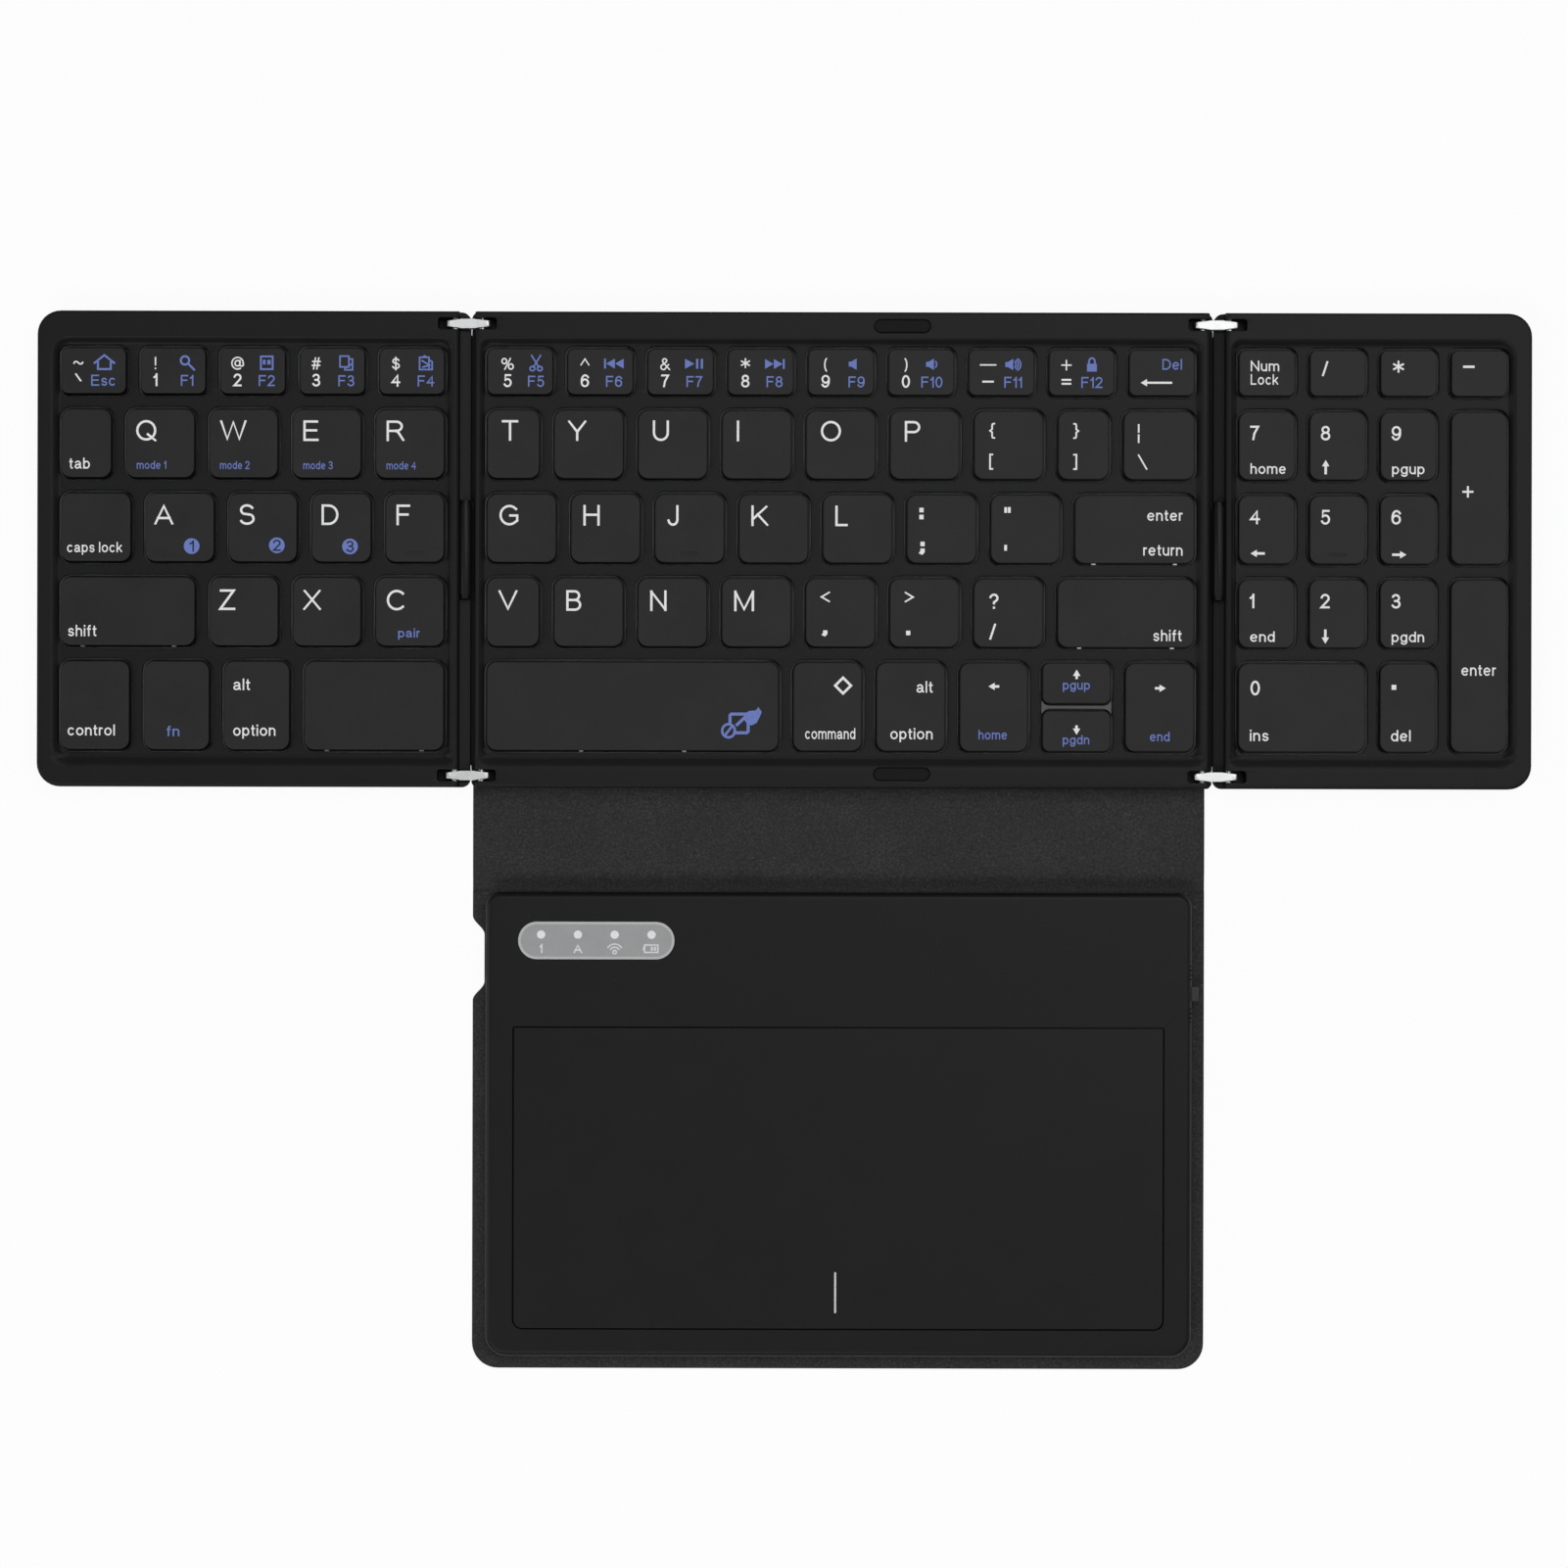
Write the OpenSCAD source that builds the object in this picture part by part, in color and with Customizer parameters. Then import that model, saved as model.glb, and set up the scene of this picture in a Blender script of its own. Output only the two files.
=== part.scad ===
// Tri-fold pocket keyboard with a number pad, and a leather cover that carries a touchpad case.
// The keyboard lies open. X runs to the right, Y to the back, Z up. The origin is the centre of
// the middle panel's leather underside, on the table. All sizes are in millimetres.

/* [Panels] */
// Width of the middle panel
middle_w = 151.3; // [151.2:0.1:151.6]
// Width of the left panel
left_w = 88.1; // [88:0.1:89]
// Width of the right panel
right_w = 64.6; // [64.5:0.1:65.5]
// Depth of all three panels, front to back
panel_d = 97; // [97:0.5:99]
// Thickness of a panel, underside to rim
panel_t = 5.9; // [5.9:0.1:6.2]
// Slit between two panels when they lie open
panel_slit = 0.24; // [0.2:0.02:0.4]
// Plan radius of the keyboard's outer corners
corner_r = 4.8; // [3:0.1:6]
// Plan radius of the panel corners beside the hinges
ear_r = 1.2; // [0.8:0.1:1.2]
// Outer wall thickness
wall_t = 1.6; // [1.4:0.1:1.7]
// Floor thickness of the bottom shells
floor_t = 0.8; // [0.7:0.1:0.8]
// Height of the bottom shells, up to the parting line
bottom_h = 2.1; // [2.1:0.1:2.3]
// Depth of the key tray below the rim
tray_depth = 1.1; // [1:0.1:1.2]
// Thickness of the tray floor around the keys
tray_t = 0.8; // [0.6:0.1:0.9]
// Step that eases the outer edges
edge_step = 0.35; // [0.2:0.05:0.5]

/* [Keys] */
// Gap between neighbouring keys in a row
key_gap = 2.45; // [2.3:0.05:2.5]
// Gap between two rows of keys
row_gap = 2.6; // [2.4:0.05:2.6]
// Clearance round a key in its opening
key_clear = 0.3; // [0.2:0.05:0.4]
// Height of a key cap
key_h = 2.2; // [2:0.1:2.2]
// Plan radius of the large keys
key_r = 2.3; // [1.5:0.1:2.5]
// Plan radius of the number row keys
small_key_r = 1.7; // [1:0.1:2]
// Inset of a key's top face from its skirt
key_inset = 0.35; // [0.2:0.05:0.5]
// Thickness of the switch board under the keys
board_t = 0.8; // [0.6:0.1:0.8]

/* [Folding hinges] */
// Depth of the hinge pins' axes below the rim
pivot_depth = 2.4; // [2.3:0.05:2.4]
// Distance of the middle panel's pins from its edge
middle_pivot_in = 2.1; // [2.1:0.05:2.2]
// Distance of a side panel's pins from its edge
side_pivot_in = 3.1; // [3.1:0.05:3.2]
// Distance of the hinge links from the keyboard's centre line
link_y = 46.05; // [46:0.05:46.1]
// Radius of a link's round ends
link_end_r = 1.7; // [1.5:0.05:1.75]
// Thickness of a link at its middle
link_t = 2; // [1.8:0.1:2]
// Thickness of a link at its ends
link_end_t = 1.1; // [1:0.1:1.4]
// Radius of the hinge pins
pin_r = 0.7; // [0.6:0.05:0.8]
// Running clearance round a pin
pin_clear = 0.05; // [0.02:0.01:0.08]

/* [Leather cover] */
// Width of the leather
leather_w = 149.9; // [149:0.1:150.2]
// Thickness of the leather
leather_t = 0.9; // [0.9:0.1:1]
// Sideways offset of the leather and the touchpad case
cover_x = -0.5; // [-0.6:0.1:0]
// Leather left showing past the front of the case
leather_margin = 3; // [2:0.1:3.2]
// Plan radius of the leather's free corners
leather_r = 5.3; // [3:0.1:6]

/* [Touchpad case] */
// Width of the case
case_w = 144; // [143:0.5:144.5]
// Depth of the case
case_d = 94.6; // [94:0.2:95]
// Thickness of the case
case_t = 5.2; // [5.2:0.1:5.4]
// Width of the touch surface
touch_w = 132.3; // [130:0.1:133]
// Depth of the touch surface
touch_d = 61.2; // [60:0.1:62]
// Gap round the touch surface
touch_gap = 0.25; // [0.2:0.05:0.3]
// Travel of the power switch to each side
switch_travel = 1.2; // [1:0.1:1.3]

/* [Hidden] */
$fn = 48;
// How far a cutting solid reaches past the face that it opens
past = 1;

// heights
panel_z = leather_t;
rim_z = panel_z + panel_t;
split_z = panel_z + bottom_h;
tray_z = rim_z - tray_depth;
key_z = rim_z - key_h;
board_z = panel_z + floor_t;
sheet_z = board_z + board_t;
sheet_t = 0.2;
pivot_z = rim_z - pivot_depth;

// hinge places, measured from the keyboard's centre to the right
middle_edge = middle_w / 2;
side_edge = middle_edge + panel_slit;
middle_pivot = middle_edge - middle_pivot_in;
side_pivot = side_edge + side_pivot_in;
slot_w = link_t + 0.4;
slot_in = middle_edge - 5.2;
slot_out = side_edge + 6.5;
slot_floor_z = pivot_z - link_end_r - 0.3;
slot_r = 0.6;
link_flat = 1.2;
pin_inner_y = 43;
pin_outer_y = panel_d / 2 - 0.1;
// solid blocks that carry the pins, inside the shells' corners
hinge_block = 9;
block_y = 41.9;

// cable sleeve between two panels
sleeve_r = 1.3;
sleeve_l = 20;
sleeve_u = side_edge + 0.95;
sleeve_z = rim_z - 1.8;
sleeve_step = 0.25;
sleeve_step_l = 0.8;
sleeve_end_gap = 0.2;
notch_out = 3;
relief_in = 0.45;
relief_end_gap = 0.5;

// folded stack, which sets the width of the leather spine
fold_gap = panel_slit + middle_pivot_in + side_pivot_in - 2 * pivot_depth;
folded_top = 2 * leather_t + 2 * panel_t + fold_gap;
cover_clear = 0.3;
spine_l = folded_top + cover_clear + case_t;
crease_z = leather_t / 2;
crease_gap = 0.2;
crease_r = 0.5;
back_in = 0.4;
back_r = 2;
front_crease_y = -panel_d / 2 - leather_t / 2 - 0.35;
case_crease_y = front_crease_y - spine_l;

// cut-out of the leather beside the charging socket
notch_half_l = 4.8;
notch_end_l = 3.9;
notch_depth = 2.4;
notch_steps = 8;

// case places
case_rear_y = case_crease_y - leather_t / 2 - 0.35;
case_front_y = case_rear_y - case_d;
case_x0 = cover_x - case_w / 2;
case_x1 = cover_x + case_w / 2;
case_z = leather_t;
case_top_z = case_z + case_t;
case_split_z = case_z + 2.5;
case_r = [4.4, 4.4, 2.8, 2.8];
case_step = 0.4;
case_plate_t = 0.9;
case_wall = 1.5;
touch_front_y = case_front_y + 5.8;
touch_rear_y = touch_front_y + touch_d;
touch_r = [1.8, 1.8, 0.2, 0.2];
touch_board_out = 1.1;
glass_t = 0.9;
glass_top_z = case_top_z - 0.05;
touch_board_z = glass_top_z - glass_t - board_t;
battery_z = case_z + floor_t;
battery_x = [-44, 26];
battery_y = [10, 50];
battery_t = 2.1;
battery_r = 1;
main_board_z = case_z + 1.5;
main_board_y = [25, 2];
main_board_gap = 0.3;
// posts under the main board, and its chips as [x, width, depth]
post_x = [-60, -20, 30, 60];
post_r = 1.5;
post_in = 22;
chips = [[-10, 7, 7], [12, 5, 5], [28, 6, 4], [-34, 4, 4]];
chip_in = 20;
chip_t = 0.9;
switch_body = [4.2, 1.4, 4.2];
window = [cover_x - 49.4, case_rear_y - 9.8];
window_size = [31.9, 7.7];
window_sunk = 0.45;
window_proud = 0.05;
led_pitch = 7.5;
led_y = 1.2;
led_r = 0.85;
led_clear = 0.1;
socket_y = case_rear_y - 13.6;
socket_z = case_z + 2.55;
socket_w = 8.94;
socket_h = 3.2;
socket_l = 7.3;
socket_t = 0.3;
socket_back = 1;
socket_clear = 0.15;
tongue = [1.5, 3.3, 0.35];
switch_y = case_rear_y - 20.5;
switch_z = case_z + 3.1;
knob_w = 3;
knob_h = 1.5;
knob_proud = 1.4;
knob_gap = 0.2;
knob_root = [1, 4.4];
recess_in = 0.4;
recess_half_l = 5.8;
recess_z = [0.8, 4.7];
rib_first = 3.45;
rib_pitch = 0.95;
rib_t = 0.5;

// key rows from the back to the front
row_depth = [9.9, 14.5, 14.5, 14.5, 18.6];
function sum_before(v, i) = i <= 0 ? 0 : v[i - 1] + sum_before(v, i - 1);
field_d = sum_before(row_depth, 5) + 4 * row_gap;
function row_front(r) = field_d / 2 - sum_before(row_depth, r + 1) - r * row_gap;

// a key is [left, front, width, depth, corner radius]
function row_keys(x0, widths, r) = [
    for (i = [0:len(widths) - 1])
        [x0 + sum_before(widths, i) + i * key_gap, row_front(r), widths[i], row_depth[r],
         r == 0 ? small_key_r : key_r]
];

left_x0 = -159.4;
left_field_w = 78.6;
number_key_left_w = (left_field_w - 4 * key_gap) / 5;
left_rows = [
    row_keys(left_x0, [for (i = [0:4]) number_key_left_w], 0),
    row_keys(left_x0, [10.8, 14.5, 14.5, 14.5, 14.5], 1),
    row_keys(left_x0, [14.8, 14.5, 14.45, 12.6, 12.45], 2),
    row_keys(left_x0, [27.9, 14.5, 14.4, 14.45], 3),
    row_keys(left_x0, [14.6, 13.8, 13.9, 28.95], 4)
];

middle_x0 = -72.6;
middle_field_w = 144.6;
number_key_middle_w = (middle_field_w - 8 * key_gap) / 9;
letter_w = 14.65;
arrow_gap = 0.9;
bottom_row = row_keys(middle_x0, [60, 14.5, 14.5, 14.4, 14.4, 14.55], 4);
arrow_column = bottom_row[4];
half_arrow_d = (row_depth[4] - arrow_gap) / 2;
middle_rows = [
    row_keys(middle_x0, [for (i = [0:8]) number_key_middle_w], 0),
    row_keys(middle_x0, [11.2, for (i = [0:5]) letter_w, 10.9, 15], 1),
    row_keys(middle_x0, [for (i = [0:6]) letter_w, 24.9], 2),
    row_keys(middle_x0, [11.2, for (i = [0:5]) letter_w, 28.35], 3),
    [
        for (i = [0, 1, 2, 3, 5]) bottom_row[i],
        for (up = [0, 1])
            [arrow_column[0], arrow_column[1] + up * (half_arrow_d + arrow_gap),
             arrow_column[2], half_arrow_d, small_key_r]
    ]
];

right_x0 = 80.5;
right_field_w = 55.2;
pad_key_w = (right_field_w - 3 * key_gap) / 4;
pad_row = [for (i = [0:2]) pad_key_w];
tall_x = right_x0 + 3 * (pad_key_w + key_gap);
right_rows = [
    row_keys(right_x0, [for (i = [0:3]) pad_key_w], 0),
    row_keys(right_x0, pad_row, 1),
    row_keys(right_x0, pad_row, 2),
    row_keys(right_x0, pad_row, 3),
    row_keys(right_x0, [2 * pad_key_w + key_gap, pad_key_w], 4),
    [
        for (r = [2, 4])
            [tall_x, row_front(r), pad_key_w, row_depth[r] + row_gap + row_depth[r - 1], key_r]
    ]
];

function flat(rows) = [for (row = rows) for (k = row) k];
left_keys = flat(left_rows);
middle_keys = flat(middle_rows);
right_keys = flat(right_rows);

// key tray past the keys, at the sides and at the ends, and its corner radii
tray_side = 1;
tray_end = 1.4;
tray_inner_r = 2;
tray_outer_r = 3;

// hollow of the shells
cavity_u = side_pivot + 0.9;
cavity_middle = middle_edge - 2.1;
board_gap = 0.2;
board_end = 0.6;

// screws from below, in solid bosses
screw_y = 44.7;
screw_in = side_edge + 12.5;
screw_out = 5.8;
middle_screws_x = [-60, -10, 60];
screw_r = 0.8;
screw_l = 3.6;
screw_sunk = 0.1;
screw_head_r = 1.5;
screw_head_h = 0.8;
screw_cross = [1.6, 0.3, 0.4];
boss_r = 2.1;
screw_gap = 0.1;

// rubber feet under the side panels
foot_r = 4;
foot_step = [0.4, 0.2];
foot_y = 38;
foot_in = 9;
foot_out = 11;

// pads on the middle panel that the folded side panels rest on
rest_pad_x = 12.2;
rest_pad_y = 45.6;
rest_pad_size = [11.5, 2.7];
rest_pad_sunk = 0.5;
rest_pad_proud = 0.45;

// domes and scissor frames under the keys
dome_base_r = 2.1;
dome_top_r = 1.1;
scissor_t = 0.5;
scissor_tilt = 8;
outer_ring = [9, 8, 0.8];
inner_ring = [6.8, 6, 0.6];

// raised bar on the keys where the fingers rest
tactile_l = 3.4;
tactile_d = 0.5;
tactile_h = 0.2;
tactile_front = 1.9;

// depth of a key's top face above the ledge of its skirt
key_step = 0.5;

// ---- shared shapes ----

// Rectangle whose corners have their own radii: front left, front right, rear right, rear left
module outline(x0, x1, y0, y1, r) {
    polygon([[x0 + r[0], y0], [x1 - r[1], y0], [x1, y0 + r[1]], [x1, y1 - r[2]],
             [x1 - r[2], y1], [x0 + r[3], y1], [x0, y1 - r[3]], [x0, y0 + r[0]]]);
    translate([x0 + r[0], y0 + r[0]]) circle(r[0]);
    translate([x1 - r[1], y0 + r[1]]) circle(r[1]);
    translate([x1 - r[2], y1 - r[2]]) circle(r[2]);
    translate([x0 + r[3], y1 - r[3]]) circle(r[3]);
}

module slab(x0, x1, y0, y1, r, z0, z1) {
    translate([0, 0, z0]) linear_extrude(z1 - z0) outline(x0, x1, y0, y1, r);
}

// Corner radii of a bar with round ends, just short of half its depth
function round_ends(half) = let (r = half - 0.005) [r, r, r, r];

// Box given by its two corners
module block(low, high) {
    translate(low) cube(high - low);
}

module both_ends() {
    children();
    mirror([0, 1, 0]) children();
}

module both_sides() {
    children();
    mirror([1, 0, 0]) children();
}

// ---- panel shells, drawn as the right-hand panel or the middle one ----

function panel_r(kind) = kind == "middle" ? [ear_r, ear_r, ear_r, ear_r]
                                          : [ear_r, corner_r, corner_r, ear_r];
function eased(r) = [for (v = r) v - edge_step];

// Section of the facing edge: the top of the edge is round, so the panels can roll past each other
module side_section(far) {
    translate([side_pivot, rim_z - side_pivot_in]) circle(side_pivot_in);
    translate([side_edge, panel_z - past]) square([far, panel_t - side_pivot_in + past]);
    translate([side_pivot, panel_z - past]) square([far, panel_t + past]);
}

module middle_section() {
    for (side = [-1, 1])
        translate([side * middle_pivot, rim_z - middle_pivot_in]) circle(middle_pivot_in);
    translate([-middle_edge, panel_z - past])
        square([middle_w, panel_t - middle_pivot_in + past]);
    translate([-middle_pivot, panel_z - past]) square([2 * middle_pivot, panel_t + past]);
}

module across() {
    rotate([90, 0, 0]) linear_extrude(panel_d + 2 * past, center = true) children();
}

module top_block(x0, x1, r) {
    y = panel_d / 2;
    e = edge_step;
    slab(x0, x1, -y, y, r, split_z, rim_z - e);
    slab(x0 + e, x1 - e, -y + e, y - e, eased(r), split_z, rim_z);
}

module bottom_block(x0, x1, r) {
    y = panel_d / 2;
    e = edge_step;
    slab(x0, x1, -y, y, r, panel_z + e, split_z);
    slab(x0 + e, x1 - e, -y + e, y - e, eased(r), panel_z, split_z);
}

// Space inside the shells, less the solid blocks that hold the hinge pins and the screws
module panel_cavity(x0, x1, block_edges, screws) {
    y = panel_d / 2 - wall_t;
    difference() {
        block([x0, -y, panel_z + floor_t], [x1, y, tray_z - tray_t]);
        for (u = block_edges)
            both_ends()
                block([u - hinge_block, block_y, panel_z], [u + hinge_block, y + past, rim_z]);
        for (x = screws)
            both_ends()
                translate([x, screw_y, panel_z]) cylinder(r = boss_r, h = panel_t);
    }
}

// Slot that a hinge link swings in, open upward and toward the slit
module link_slots() {
    both_ends()
        slab(slot_in, slot_out, link_y - slot_w / 2, link_y + slot_w / 2,
             [slot_r, slot_r, slot_r, slot_r], slot_floor_z, rim_z + past);
}

module pin_bores(u) {
    both_ends()
        translate([u, pin_inner_y - pin_clear, pivot_z])
            rotate([-90, 0, 0]) cylinder(r = pin_r + pin_clear, h = panel_d / 2);
}

module screw_holes(screws) {
    for (x = screws)
        both_ends() {
            translate([x, screw_y, panel_z - past])
                cylinder(r = screw_r + screw_gap / 2, h = past + screw_sunk + screw_l + 2 * screw_gap);
            translate([x, screw_y, panel_z - past])
                cylinder(r = screw_head_r + screw_gap, h = past + screw_sunk + screw_head_h);
        }
}

module screw_set(screws) {
    for (x = screws)
        both_ends()
            translate([x, screw_y, panel_z + screw_sunk]) difference() {
                union() {
                    cylinder(r = screw_head_r, h = screw_head_h);
                    cylinder(r = screw_r, h = screw_l);
                }
                for (turn = [0, 90])
                    rotate([0, 0, turn])
                        cube([screw_cross[0], screw_cross[1], 2 * screw_cross[2]], center = true);
            }
}

function side_screws(width) = [screw_in, side_edge + width - screw_out];

module side_top(width, field_u0, field_u1) {
    far = side_edge + width;
    tray_y = field_d / 2 + tray_end;
    difference() {
        intersection() {
            top_block(side_edge, far, panel_r("side"));
            across() side_section(width);
        }
        slab(field_u0 - tray_side, field_u1 + tray_side, -tray_y, tray_y,
             [tray_inner_r, tray_outer_r, tray_outer_r, tray_inner_r], tray_z, rim_z + past);
        panel_cavity(cavity_u, far - wall_t, [side_edge], side_screws(width));
        link_slots();
        pin_bores(side_pivot);
        screw_holes(side_screws(width));
        sleeve_notch();
    }
}

module side_bottom(width) {
    far = side_edge + width;
    difference() {
        bottom_block(side_edge, far, panel_r("side"));
        panel_cavity(cavity_u, far - wall_t, [side_edge], side_screws(width));
        link_slots();
        screw_holes(side_screws(width));
    }
}

// ---- key layout ----

module key_opening(k) {
    c = key_clear;
    r = k[4] + c;
    slab(k[0] - c, k[0] + k[2] + c, k[1] - c, k[1] + k[3] + c, [r, r, r, r], split_z, rim_z);
}

module key_cap(k) {
    i = key_inset;
    r = k[4];
    s = r - i;
    slab(k[0], k[0] + k[2], k[1], k[1] + k[3], [r, r, r, r], key_z, rim_z - key_step);
    slab(k[0] + i, k[0] + k[2] - i, k[1] + i, k[1] + k[3] - i, [s, s, s, s], key_z, rim_z);
}

module key_caps(keys) {
    for (k = keys) key_cap(k);
}

// Raised bar that fingers find on the F, J and 5 keys
module tactile_bar(k) {
    middle = k[0] + k[2] / 2;
    y = k[1] + tactile_front;
    block([middle - tactile_l / 2, y, rim_z - tactile_h / 2],
          [middle + tactile_l / 2, y + tactile_d, rim_z + tactile_h]);
}

module dome_sheet(keys, x0, x1) {
    y = field_d / 2 + board_end;
    block([x0, -y, sheet_z], [x1, y, sheet_z + sheet_t]);
    for (k = keys)
        translate([k[0] + k[2] / 2, k[1] + k[3] / 2, sheet_z])
            cylinder(r1 = dome_base_r, r2 = dome_top_r, h = key_z - sheet_z);
}

// One side of a scissor: a flat ring tilted about the line where it crosses the other ring
module scissor_ring(ring, tilt) {
    bar = ring[2];
    rotate([0, tilt, 0]) difference() {
        cube([ring[0], ring[1], scissor_t], center = true);
        cube([ring[0] - 2 * bar, ring[1] - 2 * bar, 2 * scissor_t], center = true);
    }
}

module scissor_frames(keys) {
    mid_z = (sheet_z + sheet_t + key_z) / 2;
    for (k = keys)
        translate([k[0] + k[2] / 2, k[1] + k[3] / 2, mid_z]) {
            scissor_ring(outer_ring, scissor_tilt);
            scissor_ring(inner_ring, -scissor_tilt);
        }
}

module switch_board(x0, x1) {
    y = field_d / 2 + board_end;
    block([x0, -y, board_z], [x1, y, sheet_z]);
}

// ---- folding hinges, drawn on the right-hand side ----

module hinge_links() {
    span = side_pivot - middle_pivot;
    reach = span / 2 + link_end_r;
    // half of the link's plan, thick in the middle and thin at its ends
    half = [[-reach, link_end_t / 2], [-link_flat, link_t / 2], [link_flat, link_t / 2],
            [reach, link_end_t / 2]];
    both_ends()
        translate([middle_pivot, link_y, pivot_z]) difference() {
            intersection() {
                rotate([90, 0, 0]) linear_extrude(link_t, center = true) {
                    circle(link_end_r);
                    translate([span, 0]) circle(link_end_r);
                    translate([0, -link_end_r]) square([span, 2 * link_end_r]);
                }
                translate([span / 2, 0, 0]) linear_extrude(2 * rim_z, center = true)
                    polygon(concat(half, [for (i = [3:-1:0]) [half[i][0], -half[i][1]]]));
            }
            for (x = [0, span])
                translate([x, 0, 0]) rotate([90, 0, 0])
                    cylinder(r = pin_r, h = 2 * link_t, center = true);
        }
}

module hinge_pins() {
    both_ends()
        for (u = [middle_pivot, side_pivot])
            translate([u, pin_inner_y, pivot_z])
                rotate([-90, 0, 0]) cylinder(r = pin_r, h = pin_outer_y - pin_inner_y);
}

module cable_sleeve() {
    translate([sleeve_u, 0, sleeve_z]) rotate([90, 0, 0]) {
        cylinder(r = sleeve_r, h = sleeve_l - 2 * sleeve_step_l, center = true);
        cylinder(r = sleeve_r - sleeve_step, h = sleeve_l, center = true);
    }
}

module sleeve_notch() {
    l = sleeve_l + 2 * sleeve_end_gap;
    translate([sleeve_u, 0, sleeve_z])
        rotate([90, 0, 0]) cylinder(r = sleeve_r, h = l, center = true);
    block([sleeve_u - sleeve_r, -l / 2, sleeve_z], [sleeve_u + notch_out, l / 2, rim_z + past]);
    block([side_edge - past, -l / 2, split_z], [sleeve_u, l / 2, sleeve_z]);
}

module sleeve_relief() {
    l = sleeve_l + 2 * relief_end_gap;
    block([middle_edge - relief_in, -l / 2, split_z - past],
          [middle_edge + past, l / 2, rim_z + past]);
}

module feet(width) {
    for (u = [side_edge + foot_in, side_edge + width - foot_out])
        both_ends()
            translate([u, foot_y, 0]) {
                translate([0, 0, foot_step[1]]) cylinder(r = foot_r, h = panel_z - foot_step[1]);
                cylinder(r = foot_r - foot_step[0], h = panel_z);
            }
}

// ---- middle panel ----

module middle_top_shell() color([0.13, 0.13, 0.135]) {
    tray_y = field_d / 2 + tray_end;
    difference() {
        intersection() {
            top_block(-middle_edge, middle_edge, panel_r("middle"));
            across() middle_section();
        }
        slab(middle_x0 - tray_side, middle_x0 + middle_field_w + tray_side, -tray_y, tray_y,
             [tray_inner_r, tray_inner_r, tray_inner_r, tray_inner_r], tray_z, rim_z + past);
        panel_cavity(-cavity_middle, cavity_middle, [-middle_edge, middle_edge],
                     middle_screws_x);
        both_sides() {
            link_slots();
            pin_bores(middle_pivot);
            sleeve_relief();
        }
        screw_holes(middle_screws_x);
        rest_pad_shapes(rim_z - rest_pad_sunk, rim_z + past);
        for (k = middle_keys) key_opening(k);
    }
}

module middle_bottom_shell() color([0.12, 0.12, 0.125]) {
    difference() {
        bottom_block(-middle_edge, middle_edge, panel_r("middle"));
        panel_cavity(-cavity_middle, cavity_middle, [-middle_edge, middle_edge],
                     middle_screws_x);
        both_sides() link_slots();
        screw_holes(middle_screws_x);
    }
}

module middle_switch_board() color([0.05, 0.25, 0.15])
    switch_board(-cavity_middle + board_gap, cavity_middle - board_gap);

module middle_dome_sheet() color([0.55, 0.55, 0.57])
    dome_sheet(middle_keys, -cavity_middle + board_gap, cavity_middle - board_gap);

module middle_scissor_frames() color([0.8, 0.8, 0.8]) scissor_frames(middle_keys);

module middle_screws() color([0.7, 0.7, 0.72]) screw_set(middle_screws_x);

// Pads that the folded side panels come down on, where their free edges meet
module rest_pad_shapes(z0, z1) {
    x = rest_pad_size[0] / 2;
    y = rest_pad_size[1] / 2;
    both_ends()
        slab(rest_pad_x - x, rest_pad_x + x, rest_pad_y - y, rest_pad_y + y, round_ends(y),
             z0, z1);
}

module fold_rest_pads() color([0.09, 0.09, 0.09])
    rest_pad_shapes(rim_z - rest_pad_sunk, rim_z + rest_pad_proud);

module leather_back() color([0.16, 0.16, 0.16]) {
    x = leather_w / 2;
    slab(cover_x - x, cover_x + x, front_crease_y + leather_t / 2 + crease_gap,
         panel_d / 2 - back_in, [crease_r, crease_r, back_r, back_r], 0, leather_t);
}

// ---- left panel: the shapes of the right-hand side, mirrored ----

module left_hinge_links() color([0.82, 0.82, 0.84]) mirror([1, 0, 0]) hinge_links();

module left_hinge_pins() color([0.7, 0.7, 0.72]) mirror([1, 0, 0]) hinge_pins();

module left_top_shell() color([0.12, 0.12, 0.125]) {
    difference() {
        mirror([1, 0, 0]) side_top(left_w, -left_x0 - left_field_w, -left_x0);
        for (k = left_keys) key_opening(k);
    }
}

module left_bottom_shell() color([0.12, 0.12, 0.125]) mirror([1, 0, 0]) side_bottom(left_w);

module left_switch_board() color([0.05, 0.25, 0.15]) mirror([1, 0, 0])
    switch_board(cavity_u + board_gap, side_edge + left_w - wall_t - board_gap);

module left_dome_sheet() color([0.55, 0.55, 0.57])
    dome_sheet(left_keys, -side_edge - left_w + wall_t + board_gap, -cavity_u - board_gap);

module left_scissor_frames() color([0.8, 0.8, 0.8]) scissor_frames(left_keys);

module left_cable_sleeve() color([0.2, 0.2, 0.2]) mirror([1, 0, 0]) cable_sleeve();

module left_feet() color([0.08, 0.08, 0.08]) mirror([1, 0, 0]) feet(left_w);

module left_screws() color([0.7, 0.7, 0.72]) mirror([1, 0, 0]) screw_set(side_screws(left_w));

// ---- right panel, with the number pad ----

module right_hinge_links() color([0.82, 0.82, 0.84]) hinge_links();

module right_hinge_pins() color([0.7, 0.7, 0.72]) hinge_pins();

module right_top_shell() color([0.13, 0.13, 0.135]) {
    difference() {
        side_top(right_w, right_x0, right_x0 + right_field_w);
        for (k = right_keys) key_opening(k);
    }
}

module right_bottom_shell() color([0.12, 0.12, 0.125]) side_bottom(right_w);

module right_switch_board() color([0.05, 0.25, 0.15])
    switch_board(cavity_u + board_gap, side_edge + right_w - wall_t - board_gap);

module right_dome_sheet() color([0.55, 0.55, 0.57])
    dome_sheet(right_keys, cavity_u + board_gap, side_edge + right_w - wall_t - board_gap);

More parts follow.
